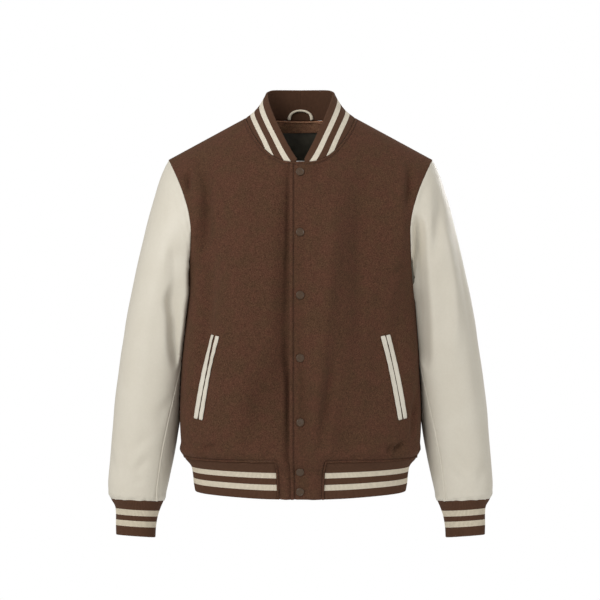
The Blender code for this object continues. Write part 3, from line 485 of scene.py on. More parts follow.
def sectionDepth(x, z, face):
    section = readCurve(sections, z)
    reach = np.minimum(1.0, np.abs(x) / section[..., 1])
    depth = np.where(face < 0, section[..., 2], section[..., 3])
    return depth * (1.0 - reach ** body["sectionPower"]) ** (1.0 / body["sectionPower"])


def angleAt(x, z, face):
    return np.arctan2(x, sectionDepth(x, z, face))


def bodyPoint(angle, z, face):
    # a place on the front (face -1) or the back (face 1), by its direction and height
    angle, z, face = np.broadcast_arrays(angle, z, face)
    section = readCurve(sections, z)
    depth = np.where(face < 0, section[..., 2], section[..., 3])
    power = body["sectionPower"]
    across = np.abs(np.sin(angle) / section[..., 1]) ** power
    along = np.abs(np.cos(angle) / depth) ** power
    radius = (across + along) ** (-1.0 / power)
    x = radius * np.sin(angle)
    y = face * radius * np.abs(np.cos(angle)) * shoulderShare(x, z, face)
    y = np.where(np.abs(angle) > math.pi / 2 - 1e-9, 0.0, y)
    return np.stack([x, y, z], -1)


def seamLine(places, face):
    # a seam as (angle, height), evenly spaced along the surface
    line = smoothLine(inMetres(places), 12)
    x, z = line[:, 0], line[:, 1]
    lifted = np.stack([x, face * sectionDepth(x, z, face) * shoulderShare(x, z, face), z], 1)
    lengths = lengthsAlong(lifted)
    x, z = atLengths(line, lengths, np.linspace(0, lengths[-1], 97)).T
    return np.stack([angleAt(x, z, face), z], 1)


frontNeck = seamLine(body["frontNeckline"], -1)
backNeck = seamLine(body["backNeckline"], 1)
frontArmhole = seamLine(body["frontArmhole"], -1)
backArmhole = seamLine(body["backArmhole"], 1)


def onSeam(line, share):
    return atLengths(line, np.arange(len(line)), np.clip(share, 0, 1) * (len(line) - 1))


# share of a front's height where its side, its straight edge and its lap end
sideEnd, edgeEnd, lapEnd = 12 / 24, 17 / 24, 18 / 24
tabShare = 2 / 9


def stretch(value, low, high):
    return np.clip((value - low) / (high - low), 0, 1)


def sideHeight(v):
    return body["hemZ"] + (body["underarmZ"] - body["hemZ"]) * stretch(v, 0, sideEnd)


def sideBorder(v, armhole):
    side = np.stack([np.full_like(v, math.pi / 2), sideHeight(v)], -1)
    return np.where((v <= sideEnd)[:, None], side, onSeam(armhole, stretch(v, sideEnd, 1)))


def frontEdgeBorder(v):
    # up the placket edge, across the top of the lap and along the neckline
    topZ = body["frontNeckline"][0][1] / 1000
    z = sideHeight(v) + (topZ - body["underarmZ"]) * stretch(v, sideEnd, edgeEnd)
    corner = angleAt(-body["lap"], topZ, -1)
    angle = np.where(v <= edgeEnd, angleAt(-body["lap"], z, -1), corner * (1 - stretch(v, edgeEnd, lapEnd)))
    edge = np.stack([angle, z], -1)
    return np.where((v <= lapEnd)[:, None], edge, onSeam(frontNeck, stretch(v, lapEnd, 1)))


def shoulderLine(share, face):
    x = body["neckX"] + (body["tipX"] - body["neckX"]) * share
    z = shoulderHeight(x)
    return np.stack([angleAt(x, z, face), z], -1)


def frontAngles(s):
    hem = body["hemZ"]
    first, tab = angleAt(-body["lap"], hem, -1), angleAt(body["tabHalf"], hem, -1)
    return first, np.where(s <= tabShare, first + (tab - first) * stretch(s, 0, tabShare),
                           tab + (math.pi / 2 - tab) * stretch(s, tabShare, 1))


def frontSurface(v, s):
    # the left front without its lift: v upward (below 0 on the tab), s outward from the placket edge
    up = np.clip(v, 0, 1)
    first, angle = frontAngles(s)
    bottom = np.stack([angle, np.full_like(s, body["hemZ"])], -1)
    top = shoulderLine(s, -1)
    ends = np.array([0.0, 1.0])
    left, right = frontEdgeBorder(np.append(ends, up)), sideBorder(np.append(ends, up), frontArmhole)
    across = (angle - first) / (math.pi / 2 - first)
    u = across[None] * (1 - up[:, None]) + s[None] * up[:, None]
    grid = patchBetween(left, right, bottom, top, u, up)
    below = v < 0
    grid[below, :, 0] = angle
    grid[below, :, 1] = body["hemZ"] + v[below, None] * (body["hemZ"] - body["bottomZ"])
    return bodyPoint(grid[..., 0], grid[..., 1], -1)


def patchBetween(left, right, bottom, top, u, v):
    # left and right start with their own two ends, then hold one place for each row
    u, v = u[..., None], v[:, None, None]
    ruled = (1 - u) * left[2:, None] + u * right[2:, None] + (1 - v) * bottom[None] + v * top[None]
    corners = ((1 - u) * (1 - v) * left[0] + u * (1 - v) * right[0]
               + (1 - u) * v * left[1] + u * v * right[1])
    return ruled - corners


backShoulder, backNeckEnd = 5 / 18, 13 / 18     # where the back's shoulders end, as shares of its width
layerSides = (4 / 18, 14 / 18)     # the sides of the facing and the lining inside the neck
liningLow, facingLow = 19 / 24, 22.5 / 24     # their lower edges, as shares of the back's height


def backTop(s):
    right = shoulderLine(stretch(s, backNeckEnd, 1), 1)
    left = shoulderLine(stretch(-s, -backShoulder, 0), 1) * np.array([-1, 1])
    middle = (s - 0.5) / (backNeckEnd - 0.5)
    neck = onSeam(backNeck, np.abs(middle)) * np.stack([np.where(middle < 0, -1, 1), np.ones_like(s)], -1)
    top = np.where((s > backNeckEnd)[:, None], right, neck)
    return np.where((s < backShoulder)[:, None], left, top)


def backSurface(v, s):
    bottom = np.stack([-math.pi / 2 + math.pi * s, np.full_like(s, body["hemZ"])], -1)
    ends = np.array([0.0, 1.0])
    right = sideBorder(np.append(ends, v), backArmhole)
    left = right * np.array([-1, 1])
    u = np.broadcast_to(s, (len(v), len(s)))
    grid = patchBetween(left, right, bottom, backTop(s), u, v)
    return bodyPoint(grid[..., 0], grid[..., 1], 1)


def lapLift(x):
    return body["lapLift"] * (1 - smoothStep(np.abs(x), *body["lapFade"]))


def nodeMaker(name):
    material = bpy.data.materials.new(name)
    material.use_nodes = True
    tree = material.node_tree
    shader = tree.nodes["Principled BSDF"]

    def add(kind, inputs=None, **settings):
        node = tree.nodes.new("ShaderNode" + kind)
        for key, value in settings.items():
            setattr(node, key, value)
        for key, value in (inputs or {}).items():
            link(value, node.inputs[key])
        return node

    def link(value, socket):
        if isinstance(value, bpy.types.NodeSocket):
            tree.links.new(value, socket)
        elif isinstance(value, tuple) and len(value) == 3 and socket.type == "RGBA":
            socket.default_value = (*value, 1.0)
        else:
            socket.default_value = value

    def calc(operation, first, second=0.0, third=0.0):
        node = add("Math", {0: first, 1: second, 2: third}, operation=operation)
        return node.outputs[0]

    def noise(coordinates, scale, detail=2.0, roughness=0.5, distortion=0.0):
        node = add("TexNoise", {"Vector": coordinates, "Scale": scale, "Detail": detail,
                                "Roughness": roughness, "Distortion": distortion})
        return node.outputs["Fac"]

    def ramp(factor, stops):
        node = add("ValToRGB", {"Fac": factor})
        elements = node.color_ramp.elements
        while len(elements) < len(stops):
            elements.new(0.5)
        for element, (place, colour) in zip(elements, stops):
            element.position = place
            element.color = (*colour, 1.0)
        return node.outputs["Color"]

    def mix(factor, first, second, blend="MIX"):
        node = add("Mix", data_type="RGBA", blend_type=blend)
        link(factor, node.inputs[0])
        link(first, node.inputs[6])
        link(second, node.inputs[7])
        return node.outputs[2]

    def bump(height, distance, strength, after=None):
        inputs = {"Height": height, "Distance": distance, "Strength": strength}
        if after is not None:
            inputs["Normal"] = after
        return add("Bump", inputs).outputs["Normal"]

    tools = {"add": add, "link": link, "calc": calc, "noise": noise, "ramp": ramp, "mix": mix, "bump": bump}
    return material, shader, tools


def setShader(shader, tools, **values):
    for key, value in values.items():
        tools["link"](value, shader.inputs[key.replace("_", " ")])


woolLook = {"dark": (0.0614, 0.0280, 0.0157), "middle": (0.0749, 0.0348, 0.0197),
            "light": (0.0900, 0.0425, 0.0245), "green": (0.0673, 0.0359, 0.0186),
            "red": (0.0826, 0.0338, 0.0209)}
# the facing is the same wool as the body, with its colours painted several times lighter to make up for the
# shade inside the neck: painted light
litFacingLook = {"dark": (0.240, 0.119, 0.065), "middle": (0.320, 0.165, 0.093), "light": (0.400, 0.210, 0.118),
              "green": (0.288, 0.161, 0.089), "red": (0.368, 0.172, 0.104)}


def makeWool(name, look):
    material, shader, t = nodeMaker(name)
    place = t["add"]("TexCoord").outputs["Object"]
    mottle = t["noise"](place, 210.0, 3.0, 0.7, 0.6)
    grain = t["noise"](place, 620.0, 2.0, 0.6, 0.8)
    tint = t["noise"](place, 38.0, 3.0, 0.6)
    fleck = t["noise"](place, 1500.0, 3.0, 0.75, 1.2)
    fibre = t["noise"](place, 620.0, 4.0, 0.7, 2.5)
    base = t["ramp"](mottle, [(0.30, look["dark"]), (0.5, look["middle"]), (0.72, look["light"])])
    tinted = t["ramp"](tint, [(0.36, look["green"]), (0.62, look["red"])])
    colour = t["mix"](0.5, base, tinted)
    grained = t["ramp"](grain, [(0.3, (0.55, 0.55, 0.55)), (0.5, (1.0, 1.0, 1.0)), (0.7, (1.5, 1.5, 1.5))])
    colour = t["mix"](1.0, colour, grained, "MULTIPLY")
    flecked = t["ramp"](fleck, [(0.28, (0.55, 0.53, 0.52)), (0.5, (1.0, 1.0, 1.0)),
                                (0.72, (1.5, 1.46, 1.42))])
    colour = t["mix"](0.85, colour, flecked, "MULTIPLY")
    height = t["calc"]("ADD", fibre, t["calc"]("MULTIPLY", fleck, 0.6))
    soft = t["bump"](mottle, 0.0010, 0.25)
    setShader(shader, t, Base_Color=colour, Roughness=0.94, Specular_IOR_Level=0.12, Sheen_Weight=0.12,
              Sheen_Roughness=0.5, Sheen_Tint=(0.60, 0.36, 0.24), Normal=t["bump"](height, 0.0006, 0.5, soft))
    return material


leatherLook = {"pale": (0.640, 0.600, 0.510), "deep": (0.580, 0.532, 0.438), "roughness": (0.42, 0.54)}


def makeLeather(name, look):
    material, shader, t = nodeMaker(name)
    place = t["add"]("TexCoord").outputs["Object"]
    cloud = t["noise"](place, 14.0, 3.0, 0.55)
    spot = t["noise"](place, 260.0, 3.0, 0.6)
    cells = t["add"]("TexVoronoi", {"Vector": place, "Scale": 900.0}, feature="DISTANCE_TO_EDGE")
    grain = t["calc"]("MINIMUM", cells.outputs["Distance"], 0.12)
    colour = t["mix"](cloud, look["deep"], look["pale"])
    colour = t["mix"](0.10, colour, t["ramp"](spot, [(0.35, (0.75, 0.73, 0.70)), (0.65, (1.0, 1.0, 1.0))]),
                      "MULTIPLY")
    low, high = look["roughness"]
    roughness = t["calc"]("MULTIPLY_ADD", spot, high - low, low)
    soft = t["bump"](cloud, 0.004, 0.10)
    setShader(shader, t, Base_Color=colour, Roughness=roughness, Specular_IOR_Level=0.42,
              Normal=t["bump"](grain, 0.0016, 0.12, soft))
    return material


# each kind's two bands, by distance from the collar's free edge or from the seam elsewhere, and its pale yarn
knitLook = {"brown": (0.090, 0.0435, 0.0255),
            "collar": (((0.0110, 0.0199), (0.0311, 0.0396)), (0.740, 0.680, 0.565)),
            "hem": (((0.0195, 0.0290), (0.0403, 0.0502)), (0.690, 0.620, 0.500)),
            "cuff": (((0.0183, 0.0293), (0.0386, 0.0490)), (0.660, 0.590, 0.465))}


def makeKnit(name, look, kind):
    bands, pale = look[kind]
    material, shader, t = nodeMaker(name)
    place = t["add"]("TexCoord").outputs["Object"]
    away = t["add"]("Attribute", attribute_name="away").outputs["Fac"]
    ridge = t["add"]("Attribute", attribute_name="ridge").outputs["Fac"]
    jitter = t["calc"]("MULTIPLY_ADD", t["noise"](place, 900.0, 1.0), 0.0004, -0.0002)
    at = t["calc"]("ADD", away, jitter)
    at = t["calc"]("MULTIPLY_ADD", ridge, 0.0003, at)
    inside = [t["calc"]("MULTIPLY", t["calc"]("GREATER_THAN", at, low), t["calc"]("LESS_THAN", at, high))
              for low, high in bands]
    cloud = t["noise"](place, 160.0, 2.0, 0.6)
    yarn = t["noise"](place, 1300.0, 3.0, 0.7, 1.0)
    tone = t["ramp"](cloud, [(0.3, (0.93, 0.93, 0.92)), (0.7, (1.05, 1.05, 1.04))])
    colour = t["mix"](t["calc"]("ADD", *inside), look["brown"], pale)
    colour = t["mix"](1.0, colour, tone, "MULTIPLY")
    # painted shade: the colour is darkened in the valleys between the ribs, where shade falls, and kept full
    # on the ridges
    paintedValleyShade = t["mix"](ridge, (0.60, 0.57, 0.53), (1.0, 1.0, 1.0))
    colour = t["mix"](0.9, colour, paintedValleyShade, "MULTIPLY")
    loops = t["calc"]("SINE", t["calc"]("MULTIPLY", away, 2 * math.pi / 0.0015))
    height = t["calc"]("ADD", t["calc"]("MULTIPLY", loops, 0.35), yarn)
    setShader(shader, t, Base_Color=colour, Roughness=0.92, Specular_IOR_Level=0.12, Sheen_Weight=0.08,
              Sheen_Roughness=0.5, Sheen_Tint=(0.70, 0.52, 0.38), Normal=t["bump"](height, 0.0004, 0.5))
    return material


def makeLining(name):
    material, shader, t = nodeMaker(name)
    place = t["add"]("TexCoord").outputs["Object"]
    cloud = t["noise"](place, 60.0, 2.0)
    weave = t["add"]("TexWave", {"Vector": place, "Scale": 480.0, "Distortion": 0.6, "Detail": 1.0},
                     bands_direction="DIAGONAL").outputs["Fac"]
    colour = t["ramp"](cloud, [(0.3, (0.0640, 0.0570, 0.0400)), (0.7, (0.1050, 0.0940, 0.0670))])
    setShader(shader, t, Base_Color=colour, Roughness=0.46, Specular_IOR_Level=0.5, Sheen_Weight=0.15,
              Sheen_Roughness=0.4, Sheen_Tint=(0.8, 0.8, 0.75), Normal=t["bump"](weave, 0.0002, 0.35))
    return material


def makePlain(name, dark, light, roughness, scale, bump, **extra):
    material, shader, t = nodeMaker(name)
    place = t["add"]("TexCoord").outputs["Object"]
    cloud = t["noise"](place, scale, 3.0, 0.6)
    fine = t["noise"](place, scale * 4, 2.0, 0.6)
    setShader(shader, t, Base_Color=t["ramp"](cloud, [(0.32, dark), (0.68, light)]),
              Roughness=t["calc"]("MULTIPLY_ADD", fine, 0.16, roughness - 0.08),
              Normal=t["bump"](fine, bump, 0.35), **extra)
    return material


wool = makeWool("wool_cloth", woolLook)
leather = makeLeather("sleeve_leather", leatherLook)
lining = makeLining("lining_satin")
# the facing's wool: a copy of the body's wool with painted light in its colours
litFacingWool = makeWool("facing_wool_painted_light", litFacingLook)
collarKnit = makeKnit("collar_knit", knitLook, "collar")
hemKnit = makeKnit("hem_knit", knitLook, "hem")
cuffKnit = makeKnit("cuff_knit", knitLook, "cuff")
snapEnamel = makePlain("snap_enamel", (0.054, 0.030, 0.015), (0.074, 0.042, 0.022), 0.40, 300.0, 0.0001,
                       Specular_IOR_Level=0.34, Coat_Weight=0.10, Coat_Roughness=0.25)
loopCord = makePlain("loop_cord", (0.68, 0.59, 0.45), (0.79, 0.71, 0.57), 0.70, 500.0, 0.0003)
woolThread = makePlain("wool_thread", (0.050, 0.024, 0.016), (0.085, 0.043, 0.029), 0.75, 900.0, 0.0002)
paleThread = makePlain("pale_thread", (0.50, 0.455, 0.365), (0.60, 0.555, 0.460), 0.65, 900.0, 0.0002)
neckTape = makePlain("neck_tape", (0.27, 0.265, 0.25), (0.36, 0.35, 0.33), 0.75, 700.0, 0.0003)
print("materials made")


# the folds: places as across and height, width, depth below 0 or height above it, in mm;
# a pair of widths is for the two ends
panelCreases = {
    "front_right": (
        (((-26, -83), (-27, -204), (-27, -324), (-28, -462), (-28, -586)), (15, 24), -10.5),
        (((-21, -92), (-21, -186), (-21, -307), (-21, -401)), 5.2, -6.2),
        (((-21, -384), (-21, -462), (-20, -548), (-21, -599)), 5.6, -15),
        (((-184, -80), (-167, -111), (-162, -157), (-167, -210), (-173, -265)), (8.5, 12), -12),
        (((-196, -93), (-197, -114), (-194, -140)), 6, -8.5),
        (((-181, -121), (-180, -178), (-185, -238)), 8, 2.6),
        (((-128, -31), (-111, -109), (-104, -204), (-104, -307), (-108, -410)), (26, 32), 7.5),
        (((-154, -178), (-159, -272), (-164, -358), (-168, -462), (-173, -551)), (18, 22), -12.5),
        (((-66, -448), (-77, -517), (-83, -596)), 24, -11.5),
        (((-48, -400), (-49, -500), (-50, -603)), 32, -15),
        (((-144, -573), (-161, -580), (-178, -590)), 5.6, -7.5),
        (((-152, -592), (-168, -596)), 4.5, -3.4),
        (((-42, -574), (-56, -586), (-66, -598)), 6, -3),
        (((-195, -259), (-173, -276), (-149, -284)), 8, -2.8)),
    "front_left": (
        (((65, -104), (56, -200), (46, -307), (34, -427), (20, -548)), (22, 17), 12),
        (((109, -121), (106, -207), (106, -307), (106, -410), (102, -531)), (18, 30), -16),
        (((142, -225), (140, -320), (138, -430), (131, -550)), (18, 24), -13),
        (((180, -83), (178, -178), (168, -281)), 14, 5),
        (((192, -88), (191, -126), (183, -173)), (7, 8.5), -11),
        (((178, -298), (171, -410), (161, -539)), 30, -14.5),
        (((4, -111), (5, -290), (4, -462), (3, -591)), 8.8, -2.2),
        (((6, -420), (7, -510), (6, -598)), 10, -5.5),
        (((37, -413), (25, -500), (15, -591)), 7.5, 2.8),
        (((73, -427), (61, -505), (51, -565)), 7.5, 2.4),
        (((58, -410), (42, -522), (34, -596)), 8.5, -7.5),
        (((77, -531), (89, -596)), 20, -9),
        (((180, -570), (169, -580), (158, -590)), 5.8, -12),
        (((162, -572), (152, -582), (143, -591)), 5, -7.5),
        (((106, -586), (89, -598)), 6, -3.4),
        (((185, -259), (164, -279), (140, -284)), 8, -3),
        (((204, -482), (199, -531), (192, -568)), 8.5, -8),
        (((40, -80), (30, -104), (23, -135)), 10, -4)),
    "back": (
        (((-175, -120), (-166, -190), (-150, -262)), 14, -11.2),
        (((175, -125), (168, -185), (148, -255)), 14, -10.8),
        (((-150, -130), (-142, -200)), 13, 2.2),
        (((150, -135), (140, -210)), 13, 2.2),
        (((-188, -262), (-140, -300), (-80, -312)), 13, -6.6),
        (((188, -270), (146, -312), (90, -328)), 13, -6),
        (((-140, -585), (-150, -560), (-166, -530)), 12, -7.2),
        (((120, -588), (136, -556), (158, -528)), 12, -6.9),
        (((-60, -594), (-54, -556)), 10, -3),
        (((30, -594), (36, -566)), 9, -2.7),
        (((82, -594), (76, -550)), 10, -3),
        (((-45, -60), (-50, -110)), 16, -4.2),
        (((38, -62), (46, -120)), 16, -3.7),
        (((-70, -380), (-58, -470)), 32, -7.5),
        (((90, -400), (70, -520)), 32, -6.9),
        (((-104, -190), (-98, -330), (-106, -480), (-100, -590)), (20, 28), -8.5),
        (((122, -210), (112, -350), (118, -560)), (18, 26), -8),
        (((22, -150), (26, -350), (18, -570)), (22, 18), -5.5)),
    "fade": 0.012,
    "ripple": 0.0007,
    "seatDepth": 0.0006, "seatRadius": 0.0088, "hemSwell": (0.0042, 0.015, 0.0075),
}
# width of each topstitched edge, depth and width of its groove, height of its roll
sewing = {"neck": (0.0050, 0.0011, 0.0011, 0.0011), "placket": (0.0072, 0.0024, 0.0014, 0.0013),
          "hem": (0.0040, 0.0017, 0.0011, 0.0019), "sleeve": (0.0035, 0.0006, 0.0009, 0.0005),
          "nearShoulder": 0.016, "nearSide": 0.060,
          # the neck's stitching stops neckEnd below its corner, where pastNeck is added to its distances;
          # the placket's starts this far from the neck
          "neckEnd": 0.012, "pastNeck": 0.02, "placketFrom": (0.0015, 0.004)}
# reach and depth of the waves beside each seam
puckers = {"neck": (0.010, 0.0007), "placket": (0.012, 0.0005), "hem": (0.016, 0.0010),
           "armhole": (0.012, 0.0007), "cuff": (0.010, 0.0009), "sleeve": (0.008, 0.0004),
           "facing": (0.020, 0.0007)}
snapHeights = (-0.1036, -0.2084, -0.3155, -0.4226, -0.5319, -0.6176, -0.6523)
snapX = -0.0009
stitchLines = {"wool": [], "pale": []}


def creaseLine(points, places, count=14):
    # a line on a grid below places given by across and height
    line = pointAlong(smoothLine(inMetres(places)), np.linspace(0, 1, count))
    flat = points.reshape(-1, 3)
    found = np.array([flat[((flat[:, 0] - x) ** 2 + (flat[:, 2] - z) ** 2).argmin()] for x, z in line])
    found[1:-1] = (found[:-2] + 2 * found[1:-1] + found[2:]) / 4
    return found


def creased(points, name, borders):
    # all the creases of a panel, fading out before its seams
    push = ripple(points, panelCreases["ripple"])
    for places, width, depth in panelCreases[name]:
        push += creasePush(points, creaseLine(points, places), inMetres(width), depth / 1000)
    keep = np.ones(points.shape[:-1])
    for border in borders:
        keep *= smoothStep(awayFrom(points, border)[0], 0.0, panelCreases["fade"])
    return push * keep


def frontGrid():
    columnsAt = np.linspace(0, 1, 9)
    rowsAt = np.linspace(0, 1, 9)
    rows = spreadPlaces(frontSurface, (-1, 0, sideEnd, edgeEnd, lapEnd, 1), columnsAt, body["grid"],
                        ((0.003, 0.003), (0.006, 0.0), (0.0, 0.006), (0, 0), (0, 0.002)))
    columns = spreadPlaces(frontSurface, (0, tabShare, 1), rowsAt, body["grid"],
                           ((0.011, 0.005), (0, 0.003)), alongRows=False)
    mask = np.ones((len(rows) - 1, len(columns) - 1), bool)
    tabRows = int(np.searchsorted(rows, 0))
    tabColumns = int(np.argmin(np.abs(columns - tabShare)))
    mask[:tabRows, tabColumns:] = False
    return frontSurface(rows, columns), mask, rows, tabRows, tabColumns


def overHem(points, away):
    # the uneven swell where the cloth turns under above the hem
    x = points[..., 0]
    height, low, width = panelCreases["hemSwell"]
    wave = 1 + 0.30 * np.sin(71 * x + 1.1) + 0.25 * np.sin(173 * x + 0.4)
    return height * wave * np.exp(-((away - low) / width) ** 2)


def woolPanel(name, base, push, mask):
    # a panel with its folds, as a wall of wool with the lining's finish inside
    shaped = base + gridNormals(base, bodyMiddle) * push[..., None]
    shaped, edgeOut = standBack(shaped, mask, body["wall"] / 2 + body["seamGap"])
    normals = gridNormals(shaped, bodyMiddle)
    piece = clothMesh(name, shaped, shaped - normals * body["wall"], edgeOut, mask, [wool, lining])
    settle(piece, name)
    return piece, shaped, normals


def makeFront(name, side):
    base, mask, rows, tabRows, tabColumns = frontGrid()
    base = base.copy()
    if side > 0:
        base[..., 1] -= lapLift(base[..., 0])
    else:
        base[..., 0] *= -1
    edgeRow = int(np.argmin(np.abs(rows - edgeEnd)))
    neck = base[edgeRow:, 0]
    placket = base[:edgeRow + 1, 0]
    hem = np.concatenate([base[:tabRows, tabColumns], base[tabRows, tabColumns:]])
    awayNeck, awayPlacket, awayHem = [awayFrom(base, line)[0] for line in (neck, placket, hem)]
    push = creased(base, name, (neck, placket, hem, base[tabRows:, -1], base[-1]))
    neckPart = awayNeck + sewing["pastNeck"] * (base[..., 2] < base[edgeRow, 0, 2] - sewing["neckEnd"])
    placketKeep = smoothStep(awayNeck, *sewing["placketFrom"])
    atSide = dyingOut(sewing["nearSide"], awayFrom(base, base[tabRows:, -1])[0])
    atShoulder = dyingOut(sewing["nearShoulder"], awayFrom(base, base[-1])[0])
    push += (sewn(neckPart, "neck") + pucker(base, awayNeck, "neck")) * atShoulder
    push += sewn(awayPlacket, "placket") * placketKeep + pucker(base, awayPlacket, "placket")
    push += (sewn(awayHem, "hem") + pucker(base, awayHem, "hem")) * atSide
    push += overHem(base, awayHem)
    if side > 0:
        for z in snapHeights:
            away = np.hypot(base[..., 0] - snapX, base[..., 2] - z)
            push -= panelCreases["seatDepth"] * np.exp(-(away / panelCreases["seatRadius"]) ** 4)
    piece, shaped, normals = woolPanel(name, base, push, mask)
    above, below = slice(edgeRow, None), slice(edgeRow)
    beside = (slice(tabRows, None), slice(tabColumns, None))
    tab = (slice(0, tabRows), slice(tabColumns, 0, -1))
    stitchLines["wool"] += [
        lineAt(shaped[above], normals[above], neckPart[above], sewing["neck"][0]),
        lineAt(shaped[below], normals[below], awayPlacket[below], sewing["placket"][0]),
        lineAt(shaped[beside], normals[beside], awayHem[beside], sewing["hem"][0], byColumns=True),
        lineAt(shaped[tab], normals[tab], awayHem[tab], sewing["hem"][0])]
    return piece


frontRight = makeFront("front_right", -1)
frontLeft = makeFront("front_left", 1)
print("fronts made")


def makeBack():
    rowsAt, columnsAt = np.linspace(0, 1, 9), np.linspace(0, 1, 19)
    rows = spreadPlaces(backSurface, (0, sideEnd, liningLow, facingLow, 1), columnsAt, body["grid"],
                        ((0.006, 0), (0, 0), (0, 0), (0, 0.007)))
    columns = spreadPlaces(backSurface, (0, layerSides[0], backShoulder, 0.5, backNeckEnd, layerSides[1], 1),
                           rowsAt, body["grid"],
                           ((0.003, 0), (0, 0.002), (0.002, 0), (0, 0.002), (0.002, 0), (0, 0.003)),
                           alongRows=False)
    base = backSurface(rows, columns)
    mask = np.ones((len(rows) - 1, len(columns) - 1), bool)
    low, high = [int(np.argmin(np.abs(columns - at))) for at in (backShoulder, backNeckEnd)]
    neck = base[-1, low:high + 1]
    away, awayHem = awayFrom(base, neck)[0], awayFrom(base, base[0])[0]
    push = creased(base, "back", (base[0], base[-1], base[:, 0], base[:, -1]))
    atShoulder = dyingOut(sewing["nearShoulder"], awayFrom(base, base[-1, :low + 1])[0],
                          awayFrom(base, base[-1, high:])[0])
    atSide = dyingOut(sewing["nearSide"], awayFrom(base, base[:, 0])[0], awayFrom(base, base[:, -1])[0])
    neckSewn = sewn(away, "neck") * atShoulder
    push += neckSewn + pucker(base, away, "neck") * atShoulder
    push += (sewn(awayHem, "hem") + pucker(base, awayHem, "hem")) * atSide + overHem(base, awayHem)
    _, shaped, normals = woolPanel("back", base, push, mask)
    across = (slice(None, None, -1), slice(low, high + 1))
    stitchLines["wool"] += [
        lineAt(shaped[across], normals[across], away[across], sewing["neck"][0], byColumns=True),
        lineAt(shaped, normals, awayHem, sewing["hem"][0], byColumns=True)]
    return {"shaped": shaped, "normals": normals, "neck": neck, "rows": rows, "columns": columns,
            "sewn": neckSewn}


backPanel = makeBack()
print("back made")


